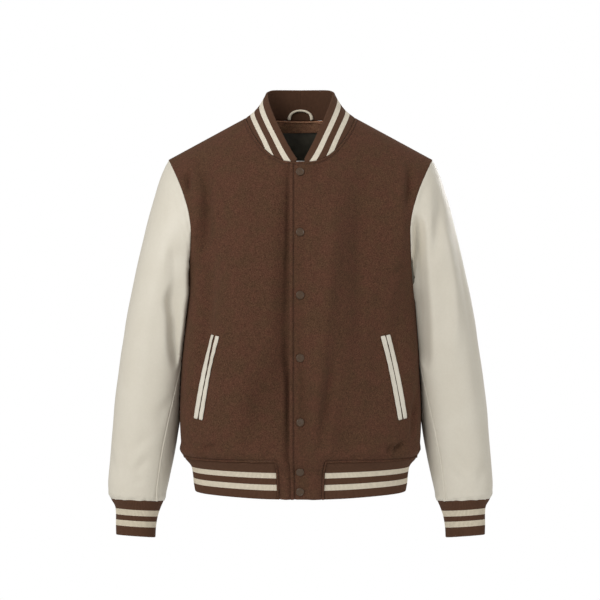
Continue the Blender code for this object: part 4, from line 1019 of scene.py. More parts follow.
sleeve = {
    # tilted rings from the armhole to the cuff: outer x, z; inner x, z; middle y; half depth, all in mm;
    # front and back seams in degrees; share of the armhole; squareness of the inner half
    "rings": (
        (235, -74.6, 203.5, -306, -3, 70, 150, 240, 1, 2.15),
        (247, -99, 199, -312, 0, 75, 154, 239, 0.62, 3),
        (260, -140, 196.8, -318, 3, 79, 159, 238, 0.34, 4.5),
        (274, -192, 196.8, -327, 6, 82, 164, 237, 0.14, 6),
        (287, -245, 198, -342, 9, 83, 167, 236, 0.04, 6),
        (299, -300, 200, -365, 10, 83, 165, 235, 0, 5.2),
        (311, -363, 203, -400, 11, 80, 157, 234, 0, 4),
        (322, -433, 207.2, -448, 11, 76, 147, 233, 0, 3),
        (330.5, -502, 211.8, -505, 8, 70, 139, 232, 0, 2.5),
        (335, -555, 216.8, -555, 4, 64, 133, 231, 0, 2.25),
        (339, -606, 225, -603, 0, 58, 132, 230, 0, 2.15),
        (341.2, -643.5, 233.5, -641.5, -4, 53, 135, 230, 0, 2.15),
        (340.4, -660, 238, -661, -6, 50, 137, 230, 0, 2.15),
        (339, -669, 240.2, -672, -7, 48, 139, 230, 0, 2.15),
        (336.6, -676.2, 242.8, -680.3, -7, 46, 140, 230, 0, 2.15)),
    "power": 2.15, "endTilt": 0.0035, "tiltFrom": (0.560, 0.670),
    "frontSeam": 10, "inner": 12, "backSeam": 16, "whole": 24,
    "wall": 0.0016, "grid": 0.0042, "fade": 0.010, "ripple": 0.0007,
    "upperCut": (0.449, 0.608, 0.161), "underCut": (0.146, 0.470, 0.0431),
    "clear": 0.0009, "clearFrom": (0.300, 0.330), "endRoll": (0.0075, 0.0010, 0.0045),
    # the fold beside the body, for each side: height, then across and depth of the sleeve's edge there,
    # of the floor of the fold and of its crest, in mm; the front of the sleeve stays behind these lines
    "tuck": {
        -1: (
            (-500, 210, -75, 215, -75, 230, -75), (-462, 209, -55, 215, -55, 230, -62),
            (-427, 206.2, -52, 216.5, -43, 235, -65), (-393, 202.7, -59, 220.5, -47, 238.5, -71),
            (-358, 200, -64, 221.5, -52, 238, -73), (-324, 196.8, -69, 226, -58, 241, -74.5),
            (-290, 195, -73, 219.5, -70.5, 233.5, -75.5), (-245, 192, -77, 221, -73.5, 231, -76.5),
            (-200, 190.5, -86, 222, -86, 232, -86)),
        1: (
            (-510, 210, -80, 215, -80, 230, -80), (-470, 209, -60, 215, -60, 230, -64),
            (-427, 206, -30, 215, -37, 233, -65), (-393, 202, -28, 211, -33, 233, -69),
            (-358, 199, -30, 208, -34.5, 232, -72), (-324, 196.5, -36, 206.5, -39, 230, -74.5),
            (-290, 195, -46, 205, -49, 227, -75), (-235, 188.5, -50, 203.5, -53, 223.5, -76),
            (-200, 188.5, -58, 203.5, -60, 223.5, -76.5), (-165, 190, -72, 203.5, -72, 222.5, -76.5),
            (-120, 190, -86, 205, -86, 221, -86)),
    },
    "tuckSoft": 0.0018, "tuckFade": (0.001, 0.014), "crestFall": 1.2,
    # side (-1 the wearer's right, 1 left, 0 both), places as (degrees, ring), width and depth in mm
    "creases": (
        (-1, ((138, 7.8), (121, 8.2), (115, 8.8)), 10, -1.8),
        (-1, ((38, 0.6), (58, 0.6), (73, 0.7)), 10, -1.6),
        (-1, ((109, 9), (92, 9.3), (76, 9.7)), 10, -1.8),
        (-1, ((107, 9.9), (95, 10.3), (84, 10.7)), 8, -2),
        (-1, ((103, 10.8), (96, 11), (85, 11.3)), 7, -1.7),
        (-1, ((98, 9.6), (86, 10), (76, 10.4)), 8, 1.2),
        (-1, ((50, 9), (58, 10.2), (64, 11.4)), 10, -1.4),
        (1, ((32, 1.1), (41, 1.8), (59, 2.2), (76, 2.6), (102, 3)), (9, 12), -5),
        (1, ((47, 1.8), (56, 3.3), (66, 4.7), (76, 6), (93, 7.1)), (9, 13), 4),
        (1, ((31, 3), (35, 4), (40, 5), (41, 6.2), (42, 7.6), (46, 8.8)), (8, 14), -2.8),
        (1, ((90, 0.7), (100, 0.5), (110, 0.3)), 6, -3.2),
        (1, ((47, 0.9), (72, 1.6), (89, 2)), 7, 1.8),
        (1, ((83, 4.6), (97, 5.5), (112, 6.3)), 11, -1.6),
        (1, ((41, 0.3), (60, 0.2), (78, 0)), 9, -1.8),
        (1, ((100, 9.7), (90, 10.3), (79, 10.8)), 8, -2.2),
        (1, ((117, 10.4), (102, 10.8), (89, 11.2)), 7, -2.2),
        (1, ((70, 8), (96, 8.5), (120, 8.9)), 12, -1.4),
        (1, ((50, 10.2), (60, 11), (66, 11.8)), 9, -1.6),
        (0, ((295, 5.4), (272, 6.4), (250, 7.4)), 14, -5.5),
        (0, ((302, 7.6), (282, 8.4), (260, 9.3)), 13, -4.2),
        (0, ((310, 6.4), (292, 7.3), (268, 8.2)), 12, 2.4),
        (0, ((330, 5.8), (350, 6.2), (372, 6.5)), 14, -2.8),
        (0, ((318, 4.2), (296, 5), (262, 5.8)), 13, -3),
        (0, ((290, 1.2), (280, 2.6), (268, 4)), 15, -3.8),
        (0, ((320, 10.4), (300, 10.8), (268, 11)), 8, -3),
        (0, ((330, 11.1), (306, 11.5), (276, 11.8)), 7, -2.6),
        (0, ((16, 9.6), (34, 10.2), (52, 10.9)), 10, -2.2),
        (0, ((170, 2.2), (186, 3.4), (206, 4.6)), 11, -3),
        (0, ((160, 5.6), (184, 6.6), (212, 7.6)), 11, -2.6)),
}


def keyed(rows):
    # the same table in metres, with the length along its middle as the first column
    rows = np.array(rows, float)
    rows[:, :6] /= 1000
    middle = (rows[:, 0:2] + rows[:, 2:4]) / 2
    return np.column_stack([lengthsAlong(middle), rows])


sleeveTable = keyed(sleeve["rings"])
ringKeys = sleeveTable[:, 0]


def ringPlace(table, along, degrees):
    # a place on a tilted ring: 0 degrees is its outer point, 90 its front, 180 its inner point
    row = readCurve(table, along)
    cosine, sine = np.cos(np.radians(degrees)), np.sin(np.radians(degrees))
    power = sleeve["power"]
    if row.shape[-1] > 10:
        power = np.where(cosine < 0, row[..., 10], power)
    radius = (np.abs(cosine) ** power + np.abs(sine) ** power) ** (-1.0 / power)
    x = (row[..., 1] + row[..., 3]) / 2 + (row[..., 1] - row[..., 3]) / 2 * radius * cosine
    z = (row[..., 2] + row[..., 4]) / 2 + (row[..., 2] - row[..., 4]) / 2 * radius * cosine
    y = row[..., 5] - row[..., 6] * radius * sine
    # the front of the lower rings stands a little higher
    z = z + sleeve["endTilt"] * smoothStep(-z, *sleeve["tiltFrom"]) * radius * sine
    return np.stack([x, y, z], -1), row


def sleeveDegrees(t, frontSeam, backSeam):
    # t runs round the sleeve from 0 at the tip to 24, with the seams at fixed values
    marks = (0, sleeve["frontSeam"], sleeve["inner"], sleeve["backSeam"], sleeve["whole"])
    t = np.mod(t, sleeve["whole"])
    result = np.zeros(np.broadcast(t, frontSeam).shape)
    angles = (0.0, frontSeam, 180.0, backSeam, 360.0)
    for low, high, lowAngle, highAngle in zip(marks, marks[1:], angles, angles[1:]):
        inside = (t >= low) & (t <= high)
        value = lowAngle + (highAngle - lowAngle) * (t - low) / (high - low)
        result = np.where(inside, value, result)
    return result


def armholePlace(t):
    t = np.mod(t, sleeve["whole"])
    half = sleeve["inner"]
    front = onSeam(frontArmhole, 1 - t / half)
    back = onSeam(backArmhole, (t - half) / half)
    onFront = t <= half
    angle = np.where(onFront, front[..., 0], back[..., 0])
    z = np.where(onFront, front[..., 1], back[..., 1])
    return bodyPoint(angle, z, np.where(onFront, -1, 1))


def sleeveSurface(along, t):
    along, t = along[:, None], t[None, :]
    row = readCurve(sleeveTable, along)
    degrees = sleeveDegrees(t, row[..., 7], row[..., 8])
    points, row = ringPlace(sleeveTable, along, degrees)
    first = sleeveTable[0]
    base, _ = ringPlace(sleeveTable, np.zeros_like(t), sleeveDegrees(t, first[7], first[8]))
    return points + (armholePlace(t) - base) * np.clip(row[..., 9:10], 0, 1)


def sleeveCreaseLine(places):
    line = smoothLine(places, 8)
    line = line[:: 2] if len(line) > 14 else line
    result = []
    for degrees, ring in line:
        along = np.interp(ring, np.arange(len(ringKeys)), ringKeys)
        row = readCurve(sleeveTable, along)
        t = np.interp(degrees % 360, (0, row[7], 180, row[8], 360),
                      (0, sleeve["frontSeam"], sleeve["inner"], sleeve["backSeam"], sleeve["whole"]))
        result.append(sleeveSurface(np.array([along]), np.array([t]))[0, 0])
    return np.array(result)


def clearOfBody(points):
    # moves what would reach into the body's side out to its surface, below the underarm
    x, y, z = points[..., 0], points[..., 1], points[..., 2]
    section = readCurve(sections, z)
    power, clear = body["sectionPower"], sleeve["clear"]
    depth = np.where(y < 0, section[..., 2], section[..., 3]) + clear
    inside = (np.abs(x) / (section[..., 1] + clear)) ** power + (np.abs(y) / depth) ** power
    grow = np.maximum(np.maximum(inside, 1e-6) ** (-1 / power), 1) - 1
    grow = 1 + grow * smoothStep(-z, *sleeve["clearFrom"])
    return np.stack([x * grow, y * grow, z], -1)


def tucked(points, side, awayTop):
    # holds the front of the sleeve behind its fold beside the body
    x, y, z = points[..., 0], points[..., 1], points[..., 2]
    row = readCurve(inMetres(sleeve["tuck"][side]), z)
    edgeX, edgeY, floorX, floorY, crestX, crestY = [row[..., k] for k in range(1, 7)]
    toFloor = np.clip((x - edgeX) / (floorX - edgeX), 0, 1)
    toCrest = smoothStep(x, floorX, crestX)
    line = edgeY + (floorY - edgeY) * toFloor + (crestY - floorY) * toCrest
    line = line - np.maximum(x - crestX, 0) * sleeve["crestFall"]
    soft = sleeve["tuckSoft"]
    moved = line + soft * np.logaddexp(0, (y - line) / soft)
    keep = smoothStep(awayTop, *sleeve["tuckFade"])
    return np.stack([x, y + (moved - y) * keep, z], -1)


def makeSleeve(name, side, kind):
    upper = kind == "upper"
    frontSeam, backSeam, whole = sleeve["frontSeam"], sleeve["backSeam"], sleeve["whole"]
    ends = (backSeam, whole, whole + frontSeam) if upper else (frontSeam, backSeam)
    rows = spreadPlaces(sleeveSurface, (ringKeys[0], ringKeys[-1]), np.linspace(ends[0], ends[-1], 11),
                        sleeve["grid"], ((0.004, 0.003),))
    zones = ((0.006, 0.0), (0.0, 0.006)) if upper else ((0.003, 0.003),)
    columns = spreadPlaces(sleeveSurface, ends, ringKeys[::2], sleeve["grid"], zones, alongRows=False)
    base = sleeveSurface(rows, columns)
    middle = sleeveSurface(rows, np.arange(whole)).mean(axis=1, keepdims=True)
    normals = gridNormals(base, middle)
    turn = np.array([side, 1, 1])
    push = ripple(base * turn, sleeve["ripple"])
    for rowSide, places, width, depth in sleeve["creases"]:
        if rowSide in (0, side):
            push += creasePush(base, sleeveCreaseLine(places), inMetres(width), depth / 1000)
    awaySides = [awayFrom(base, line)[0] for line in (base[0], base[-1], base[:, 0], base[:, -1])]
    for away in awaySides:
        push *= smoothStep(away, 0.0, sleeve["fade"])
    push += pucker(base, awaySides[0], "armhole") + pucker(base, awaySides[1], "cuff")
    for away in awaySides[2:]:
        if upper:
            push += sewn(away, "sleeve")
        push += pucker(base, away, "sleeve")
    # the leather rolls over above the cuff's seam
    at, height, wide = sleeve["endRoll"]
    push += height * np.exp(-((awaySides[1] - at) / wide) ** 2)
    shaped = clearOfBody(tucked(base + normals * push[..., None], side, awaySides[0]))
    mask = np.ones((len(rows) - 1, len(columns) - 1), bool)
    shaped, edgeOut = standBack(shaped, mask, sleeve["wall"] / 2 + body["seamGap"])
    normals = gridNormals(shaped, middle)
    shaped, edgeOut, normals = shaped * turn, edgeOut * turn, normals * turn
    piece = clothMesh(name, shaped, shaped - normals * sleeve["wall"], edgeOut, mask, [leather, lining])
    settle(piece, name)
    if upper:
        stitchLines["pale"] += [
            lineAt(shaped, normals, awaySides[2], sewing["sleeve"][0]),
            lineAt(shaped[:, ::-1], normals[:, ::-1], awaySides[3][:, ::-1], sewing["sleeve"][0])]


bothSides = ((-1, "right"), (1, "left"))
for side, sideName in bothSides:
    makeSleeve("upper_sleeve_" + sideName, side, "upper")
    makeSleeve("under_sleeve_" + sideName, side, "under")
print("sleeves made")


rib = {"pitch": 0.0023, "points": 4, "height": 0.00042, "power": 0.8, "rows": 0.0032, "wall": 0.0028,
       "fade": 0.0025,
       # ribs have their full height where a band is this wide, and never less than this share of it
       "fullAt": 0.02, "leastShare": 0.3,
       "underTab": 0.0009, "hemCut": (1.03, 0.0655, 0.0662), "sideLift": 0.0045, "liftFrom": 0.1,
       "middleZ": -0.634,
       "plainInside": 1.0}     # added to the inner skin's distances, so that it has no stripes


def ribWave(count):
    # 0 in the valleys and 1 on the ridges, for a whole number of ribs
    phase = (np.arange(count) % rib["points"]) / rib["points"]
    return np.abs(np.sin(np.pi * phase)) ** rib["power"]


def knitPiece(name, points, middle, material, closed=False, fromFree=False):
    # a ribbed band: points hold rows from one edge to the other and one column for each point of the ribs
    mask = np.ones((points.shape[0] - 1, points.shape[1] - (0 if closed else 1)), bool)
    normals = gridNormals(points, middle, closed)
    points, edgeOut = standBack(points, mask, rib["wall"] / 2 + body["seamGap"], closed)
    steps = np.linalg.norm(np.diff(points, axis=0), axis=-1)
    awaySeam = np.vstack([np.zeros(points.shape[1]), np.cumsum(steps, axis=0)])
    total = awaySeam[-1]
    awayFree = total - awaySeam
    wave = ribWave(points.shape[1])
    full = np.clip(total / rib["fullAt"], rib["leastShare"], 1)
    height = rib["height"] * wave * smoothStep(awaySeam, 0.0, rib["fade"]) * full
    ridge = np.broadcast_to(wave, awaySeam.shape)
    outer = points + normals * (height - rib["height"] / 2)[..., None]
    inner = points - normals * (rib["wall"] + height - rib["height"] / 2)[..., None]
    # the stripes are counted from the free edge on the collar and from the seam elsewhere
    away = awayFree if fromFree else awaySeam * total.max() / total
    # the ridge mark also darkens the colour in the valleys between the ribs: painted shade
    marks = {"away": (away, away + (rib["plainInside"] if fromFree else 0)), "ridge": (ridge, ridge)}
    piece = clothMesh(name, outer, inner, edgeOut, mask, [material], closed, marks)
    settle(piece, name)
    return piece


cuff = {
    # outer x, z; inner x, z; middle y; half depth, in mm
    "rings": (
        (336.6, -676.2, 242.8, -680.3, -7, 46), (334.4, -679.7, 245, -684, -7, 44.5),
        (329, -689, 249.5, -694.5, -7, 40), (327.4, -702, 253.7, -707.5, -7, 36.5),
        (327.4, -721, 256.8, -726, -8, 34), (327, -740, 257.8, -745, -8, 32.5)),
    "ribs": 98,
    "cut": (0.25, 0.067, 0.0161),
}


def makeCuff(name, side):
    table = keyed(cuff["rings"])
    fine = np.linspace(0, 360, 721)
    ring, _ = ringPlace(table, np.full(721, table[2, 0]), fine)
    lengths = lengthsAlong(ring)
    columns = cuff["ribs"] * rib["points"]
    degrees = np.interp(np.arange(columns) / columns * lengths[-1], lengths, fine)
    along = np.linspace(0, table[-1, 0], int(table[-1, 0] / rib["rows"]) + 2)
    points, _ = ringPlace(table, along[:, None], degrees[None])
    points = points * np.array([side, 1, 1])
    knitPiece(name, points, points.mean(axis=1, keepdims=True), cuffKnit, closed=True)


for side, sideName in bothSides:
    makeCuff("cuff_" + sideName, side)


def hemPlace(turn, z):
    # turn runs from the middle of the front, over the wearer's right side and the back, and round
    quarter = math.pi / 2
    onRight, onLeft = turn <= quarter, turn >= 3 * quarter
    angle = np.where(onRight, -turn, np.where(onLeft, 4 * quarter - turn, turn - 2 * quarter))
    angle = np.clip(angle, -quarter, quarter)
    face = np.where(onRight | onLeft, -1, 1)
    points = bodyPoint(angle, z, face)
    top = bodyPoint(angle, np.full_like(z, body["hemZ"]), face)
    points[..., 1] -= np.where(onLeft, lapLift(top[..., 0]), 0)
    return points


def makeHem():
    tab = float(angleAt(np.array(body["tabHalf"] - rib["underTab"]), np.array(body["hemZ"]), -1))
    fine = np.linspace(tab, 2 * math.pi - tab, 3000)
    lengths = lengthsAlong(hemPlace(fine, np.full_like(fine, rib["middleZ"])))
    ribs = int(lengths[-1] / rib["pitch"])
    columns = ribs * rib["points"] + 1
    turn = np.interp(np.linspace(0, lengths[-1], columns), lengths, fine)
    height = body["hemZ"] - body["bottomZ"]
    rows = int(height / rib["rows"])
    z = np.linspace(body["hemZ"], body["bottomZ"], rows + 1)
    turn, z = [grid.copy() for grid in np.broadcast_arrays(turn[None, :], z[:, None])]
    points = hemPlace(turn, z)
    square = points[..., :2] ** 2
    atSide = smoothStep(square[..., 0] / square.sum(-1), rib["liftFrom"], 1.0)
    points[..., 2] += rib["sideLift"] * atSide * (body["hemZ"] - z) / height
    knitPiece("hem_rib", points, np.array([0, 0, rib["middleZ"]]), hemKnit)


makeHem()

collar = {
    # share from the front end to the centre back, the free edge's place, and how far it leans in on the left
    "freeEdge": (
        (0.00, 0.0058, -0.0885, -0.0800, 0.0), (0.13, 0.0158, -0.0805, -0.0640, 0.0012),
        (0.27, 0.0272, -0.0705, -0.0430, 0.0022), (0.40, 0.0420, -0.0530, -0.0120, 0.0032),
        (0.52, 0.0545, -0.0240, 0.0200, 0.0030), (0.63, 0.0605, 0.0080, 0.0440, 0.0012),
        (0.70, 0.0590, 0.0240, 0.0496, 0.0), (0.78, 0.0505, 0.0400, 0.0543, 0.0),
        (0.88, 0.0290, 0.0560, 0.0565, 0.0), (1.00, 0.0000, 0.0620, 0.0570, 0.0)),
    # share from the front end to the centre back, and how far the middle stands out
    "bulge": ((0.0, 0.0030), (0.25, 0.0035), (0.42, 0.0020), (0.55, -0.0008), (0.68, -0.0010), (0.80, 0.0),
              (1.0, 0.0)),
    "fullWidth": 0.050, "outZ": 0.030, "endHalf": 0.0072, "rows": 0.0019, "middleZ": -0.10,
    "ribShare": 0.86,     # fewer ribs than the seam's pitch gives, because the free edge is shorter
    "cut": (0.47, 0.066, 0.0277),
}


def neckPath():
    front = bodyPoint(frontNeck[:, 0], frontNeck[:, 1], -1)
    right = front * np.array([-1, 1, 1])
    left = front.copy()
    left[:, 1] -= lapLift(left[:, 0])
    half = bodyPoint(backNeck[:, 0], backNeck[:, 1], 1)
    back = np.concatenate([half[::-1] * np.array([-1, 1, 1]), half[1:]])
    right = right[right[:, 0] <= -collar["endHalf"]]
    left = left[left[:, 0] >= collar["endHalf"]]
    return np.concatenate([right, back[1:-1], left[::-1]])


def makeCollar():
    path = neckPath()
    total = lengthsAlong(path)[-1]
    ribs = int(total * collar["ribShare"] / rib["pitch"])
    columns = ribs * rib["points"] + 1
    at = np.linspace(0, 1, columns)
    base = pointAlong(path, at)
    station = readCurve(collar["freeEdge"], 1 - np.abs(2 * at - 1))
    side = np.where(at < 0.5, -1, 1)
    free = np.stack([side * station[:, 1], station[:, 2], station[:, 3]], 1)
    free[:, 0] -= np.where(side > 0, station[:, 4], 0)
    outward = unit(np.stack([base[:, 0], base[:, 1], np.full(columns, collar["outZ"])], 1))
    width = np.linalg.norm(free - base, axis=1)
    rows = int(width.max() / collar["rows"]) + 1
    share = np.linspace(0, 1, rows + 1)[:, None, None]
    full = np.minimum(1, width / collar["fullWidth"])[None, :, None]
    bulge = readCurve(collar["bulge"], 1 - np.abs(2 * at - 1))[:, 1]
    points = base * (1 - share) + free * share + outward * (bulge[:, None] * np.sin(np.pi * share) * full)
    return knitPiece("collar", points, np.array([0, 0, collar["middleZ"]]), collarKnit,
                     fromFree=True)


collarPiece = makeCollar()
print("ribs made")


# inside the back of the neck
neckLayers = {
    "back_lining": {"low": liningLow, "depth": 0.0026, "wall": 0.0010, "slot": "lining",
                    "cut": (0.29, 0.13, 0.033)},
    "neck_facing": {"low": facingLow, "depth": 0.0040, "wall": 0.0022, "slot": "wool",
                    "cut": (0.28, 0.04, 0.0106)},
}
facingRoll = {"inward": 0.0042, "rise": -0.0032, "radius": 0.0018, "uneven": 0.10, "sides": 14,
              "flatLow": 0.004}     # no waves nearer than this to its lower edge


def rolledEdge(neck):
    # the rolled top edge of the facing, along the neck seam
    inward = -unit(neck * np.array([1, 1, 0]))
    route = neck + inward * facingRoll["inward"] + np.array([0, 0, facingRoll["rise"]])
    lengths = lengthsAlong(route)
    wave = facingRoll["uneven"] * np.sin(lengths * 410) * np.sin(lengths * 173 + 1)
    radius = facingRoll["radius"] * (1 + wave)
    return tubeMesh(cordRings(route, radius, facingRoll["sides"]))


def makeNeckLayer(name, material):
    made = neckLayers[name]
    rows, columns = backPanel["rows"], backPanel["columns"]
    low, high = layerSides
    part = np.ix_(np.flatnonzero(rows >= made["low"] - 1e-9),
                  np.flatnonzero((columns >= low - 1e-9) & (columns <= high + 1e-9)))
    normals = backPanel["normals"][part]
    points = backPanel["shaped"][part] - normals * backPanel["sewn"][part][..., None]
    outer = points - normals * made["depth"]
    more = None
    if name == "neck_facing":
        fromLow = np.linalg.norm(points - points[:1], axis=-1)
        wave = pucker(points, fromLow, "facing")
        outer = outer + normals * (wave * smoothStep(fromLow, 0, facingRoll["flatLow"]))[..., None]
        more = rolledEdge(backPanel["neck"])
    mask = np.ones((outer.shape[0] - 1, outer.shape[1] - 1), bool)
    outer, edgeOut = standBack(outer, mask, made["wall"] / 2 + body["seamGap"])
    piece = clothMesh(name, outer, outer - normals * made["wall"], edgeOut, mask, [material], more=more)
    settle(piece, name)


makeNeckLayer("back_lining", lining)
makeNeckLayer("neck_facing", litFacingWool)


def finderOf(piece, startY):
    # finds the place and the direction of a piece's surface, looking back from startY
    mesh = piece.data
    tree = BVHTree.FromPolygons([v.co for v in mesh.vertices], [tuple(p.vertices) for p in mesh.polygons])

    def find(x, z):
        place, normal, _, _ = tree.ray_cast(Vector((x, startY, z)), Vector((0, 1, 0)))
        return np.array(place), np.array(normal)
    return find


onFront = {-1: finderOf(frontRight, -1.0), 1: finderOf(frontLeft, -1.0)}
onCollar = finderOf(collarPiece, 0.0)
tapeEnd = {"half": 0.0074, "low": -0.0905, "top": -0.0836, "seamZ": -0.0915, "behind": 0.0062, "wall": 0.0008,
           "wave": 0.0003, "waves": 900, "middleZ": -0.09, "cut": (0.0148, 0.0100, 0.000106)}


def makeNeckTape():
    # the tape end that shows between the collar's two ends
    x = np.linspace(-tapeEnd["half"], tapeEnd["half"], 15)
    z = np.linspace(tapeEnd["low"], tapeEnd["top"], 8)
    y = np.array([onFront[1](place, tapeEnd["seamZ"])[0][1] for place in x]) + tapeEnd["behind"]
    points = np.stack(np.broadcast_arrays(x[None, :], y[None, :], z[:, None]), -1)
    points = points + np.array([0, 1, 0]) * (tapeEnd["wave"] * np.sin(points[..., :1] * tapeEnd["waves"]))
    mask = np.ones((len(z) - 1, len(x) - 1), bool)
    points, edgeOut = standBack(points, mask, tapeEnd["wall"] / 2)
    normals = gridNormals(points, np.array([0, 0, tapeEnd["middleZ"]]))
    piece = clothMesh("neck_tape", points, points - normals * tapeEnd["wall"], edgeOut, mask, [neckTape])
    settle(piece)


makeNeckTape()
print("neck made")

welt = {"top": (0.1460, -0.3850), "low": (0.1760, -0.5300), "width": 0.0086, "gap": 0.0004, "thick": 0.0019,
        "lift": 0.0006, "bow": 0.0022, "steps": 56, "sides": 24, "stitchIn": 0.0016,
        "probe": 0.002,     # the slope of the front is taken over this distance
        # squareness of its section across and up; unevenness in share of its thickness and in height
        "acrossPower": 0.35, "upPower": 0.6, "unevenThick": 0.10, "unevenLift": 0.0002,
        "endTaper": 0.35, "endShare": 0.012, "endRounding": 0.4,
        "cut": (0.0105, 0.149, 0.00156)}


def makeWelt(name, side, edge):
    # one strip of a pocket; edge is -1 or 1 across it
    find = onFront[side]
    start = np.array(welt["top"]) * np.array([side, 1])
    end = np.array(welt["low"]) * np.array([side, 1])
    along = unit(end - start)
    across = np.array([-along[1], along[0]])
    shift = edge * (welt["width"] + welt["gap"]) / 2
    turns = np.linspace(0, 2 * math.pi, welt["sides"] + 1)[:-1]
    # a flat rounded section: across and up
    cosine, sine = np.cos(turns), np.sin(turns)
    profile = np.stack([np.sign(cosine) * np.abs(cosine) ** welt["acrossPower"] * welt["width"] / 2,
                        np.sign(sine) * np.abs(sine) ** welt["upPower"] * welt["thick"] / 2], 1)
    rings, places, ups = [], [], []
    for step in range(welt["steps"] + 1):
        share = step / welt["steps"]
        bow = welt["bow"] * math.sin(math.pi * share) * side
        middle = start + (end - start) * share + across * (shift + bow)
        place, normal = find(*middle)
        near, _ = find(*(middle + across * welt["probe"]))
        sideways = unit(near - place)
        up = unit(normal)
        pull = 1 - welt["unevenThick"] * math.sin(share * 61 + edge) * math.sin(share * 23)
        height = welt["thick"] / 2 + welt["lift"] + welt["unevenLift"] * math.sin(share * 47 + 2 * edge)
        swell = 1 - welt["endTaper"] * math.exp(-min(share, 1 - share) / welt["endShare"])
        rings.append(place + up * height + profile[:, :1] * sideways * swell ** welt["endRounding"]
                     + profile[:, 1:] * up * pull * swell)
        places.append(place + up * (height + welt["thick"] * 0.5)
                      + sideways * edge * (welt["width"] / 2 - welt["stitchIn"]))
        ups.append(up)
    vertices, quads = tubeMesh(np.array(rings))
    settle(makeObject(name, vertices, quads, [leather]), name)
    stitchLines["pale"].append((np.array(places[2:-2]), np.array(ups[2:-2])))


for side, sideName in bothSides:
    for edge, part in ((-1, "a"), (1, "b")):
        makeWelt("pocket_welt_" + sideName + "_" + part, side, edge)


snap = {"radius": 0.0072, "height": 0.0028, "lift": 0.0003, "sides": 56,
        # shares of radius and height, from the underside to the middle of the top
        "profile": ((0.70, -0.25), (0.93, -0.10), (1.00, 0.12), (1.00, 0.40), (0.975, 0.62), (0.93, 0.80),
                    (0.87, 0.91), (0.81, 0.95), (0.77, 0.93), (0.745, 0.87), (0.71, 0.85), (0.50, 0.90),
                    (0.25, 0.93), (0.06, 0.94))}


def makeSnap(name, z):
    place, normal = onFront[1](snapX, z)
    up = unit(normal)
    across = unit(np.cross(up, np.array([0.0, 0.0, 1.0])))
    rise = np.cross(across, up)
    turns = np.linspace(0, 2 * math.pi, snap["sides"] + 1)[:-1]
    circle = np.cos(turns)[:, None] * across + np.sin(turns)[:, None] * rise
    rings = [place + up * (snap["lift"] + snap["height"] * height) + circle * snap["radius"] * radius
             for radius, height in snap["profile"]]
    vertices, quads = tubeMesh(np.array(rings))
    settle(makeObject(name, vertices, quads, [snapEnamel]), name)


for number, z in enumerate(snapHeights, start=1):
    makeSnap("snap_" + str(number), z)


loop = {"half": 0.0205, "footZ": 0.0040, "topZ": 0.0206, "archPower": 0.8, "radius": 0.0020, "clear": 0.0004,
        "footSpread": 0.55, "footShare": 0.16, "steps": 48, "sides": 16}


def makeLoop():
    route = []
    for angle in math.pi * np.arange(loop["steps"] + 1) / loop["steps"]:
        x = loop["half"] * math.cos(angle)
        z = loop["footZ"] + (loop["topZ"] - loop["footZ"]) * math.sin(angle) ** loop["archPower"]
        place, _ = onCollar(x, z)
        route.append(place - np.array([0, 1, 0]) * (loop["radius"] + loop["clear"]))
    route = np.array(route)
    for _ in range(3):
        route[1:-1] = (route[:-2] + 2 * route[1:-1] + route[2:]) / 4
    share = np.linspace(0, 1, loop["steps"] + 1)
    # its feet spread where they are sewn down
    fromFoot = np.minimum(share, 1 - share) / loop["footShare"]
    size = loop["radius"] * (1 + loop["footSpread"] * np.exp(-fromFoot ** 2))
    vertices, quads = tubeMesh(cordRings(route, size, loop["sides"]))
    settle(makeObject("hanger_loop", vertices, quads, [loopCord]), "hanger_loop")


makeLoop()

for kind, thread, slotName in (("wool", woolThread, "wool"), ("pale", paleThread, "sleeve_leather")):
    vertices, quads = joined([stitchRun(line, up) for line, up in stitchLines[kind] if len(line) > 3])
    settle(makeObject(kind + "_stitching", vertices, quads, [thread]))
print("small pieces made")


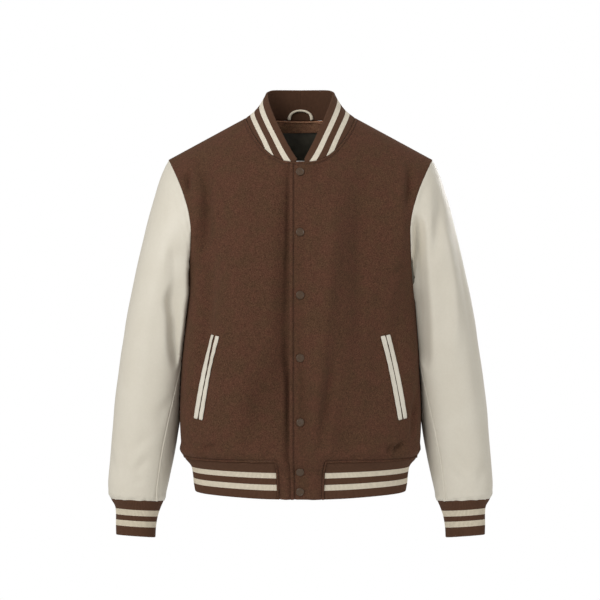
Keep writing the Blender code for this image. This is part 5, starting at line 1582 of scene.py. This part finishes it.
studio = {"lens": 101.1, "sensor": 36.0, "camera": (-0.0009, -3.0, -0.324),
          "floorZ": -1.48, "floorHalf": 3.2,
          "worldLight": 0.47, "worldSeen": 1.0,
          # name, place, aimed at, size, power
          "lights": (("key", (-1.46, -2.06, 0.86), (-0.05, 0.0, -0.30), 1.5, 43.5),
                     ("fill", (2.3, -1.7, 0.1), (0.0, 0.0, -0.4), 2.0, 18.5),
                     ("back", (1.75, 2.55, 0.85), (0.0, 0.0, -0.35), 1.5, 30.0),
                     ("edge", (-2.7, -0.7, 0.1), (0.0, 0.0, -0.4), 2.0, 5.0),
                     ("top", (0.0, 0.6, 2.4), (0.0, 0.0, -0.2), 1.8, 8.0))}


def makeStudio():
    half = studio["floorHalf"]
    vertices = np.array([(-half, -half, 0), (half, -half, 0), (half, half, 0), (-half, half, 0)], float)
    vertices[:, 2] = studio["floorZ"]
    quads = np.array([[0, 1, 2, 3]])
    floorPaint = makePlain("floor_paint", (0.80, 0.80, 0.79), (0.84, 0.84, 0.83), 0.8, 3.0, 0.0001)
    floor = makeObject("floor", vertices, quads, [floorPaint])

    for name, place, aim, size, power in studio["lights"]:
        lamp = bpy.data.lights.new(name, "AREA")
        lamp.shape = "DISK"
        lamp.size = size
        lamp.energy = power
        light = bpy.data.objects.new(name, lamp)
        light.location = place
        light.rotation_euler = (Vector(aim) - Vector(place)).to_track_quat("-Z", "Y").to_euler()
        bpy.context.scene.collection.objects.link(light)

    world = bpy.data.worlds.new("studio")
    world.use_nodes = True
    tree = world.node_tree
    tree.nodes.clear()
    seen = tree.nodes.new("ShaderNodeLightPath")
    strength = tree.nodes.new("ShaderNodeMapRange")
    strength.inputs["To Min"].default_value = studio["worldLight"]
    strength.inputs["To Max"].default_value = studio["worldSeen"]
    sky = tree.nodes.new("ShaderNodeBackground")
    sky.inputs["Color"].default_value = (1.0, 1.0, 1.0, 1.0)
    out = tree.nodes.new("ShaderNodeOutputWorld")
    tree.links.new(seen.outputs["Is Camera Ray"], strength.inputs["Value"])
    tree.links.new(strength.outputs["Result"], sky.inputs["Strength"])
    tree.links.new(sky.outputs["Background"], out.inputs["Surface"])
    bpy.context.scene.world = world

    eye = bpy.data.cameras.new("camera")
    eye.lens = studio["lens"]
    eye.sensor_width = studio["sensor"]
    camera = bpy.data.objects.new("camera", eye)
    camera.location = studio["camera"]
    camera.rotation_euler = (math.pi / 2, 0.0, 0.0)
    bpy.context.scene.collection.objects.link(camera)
    bpy.context.scene.camera = camera
    bpy.context.scene.view_settings.view_transform = "Standard"


makeStudio()

print("done")
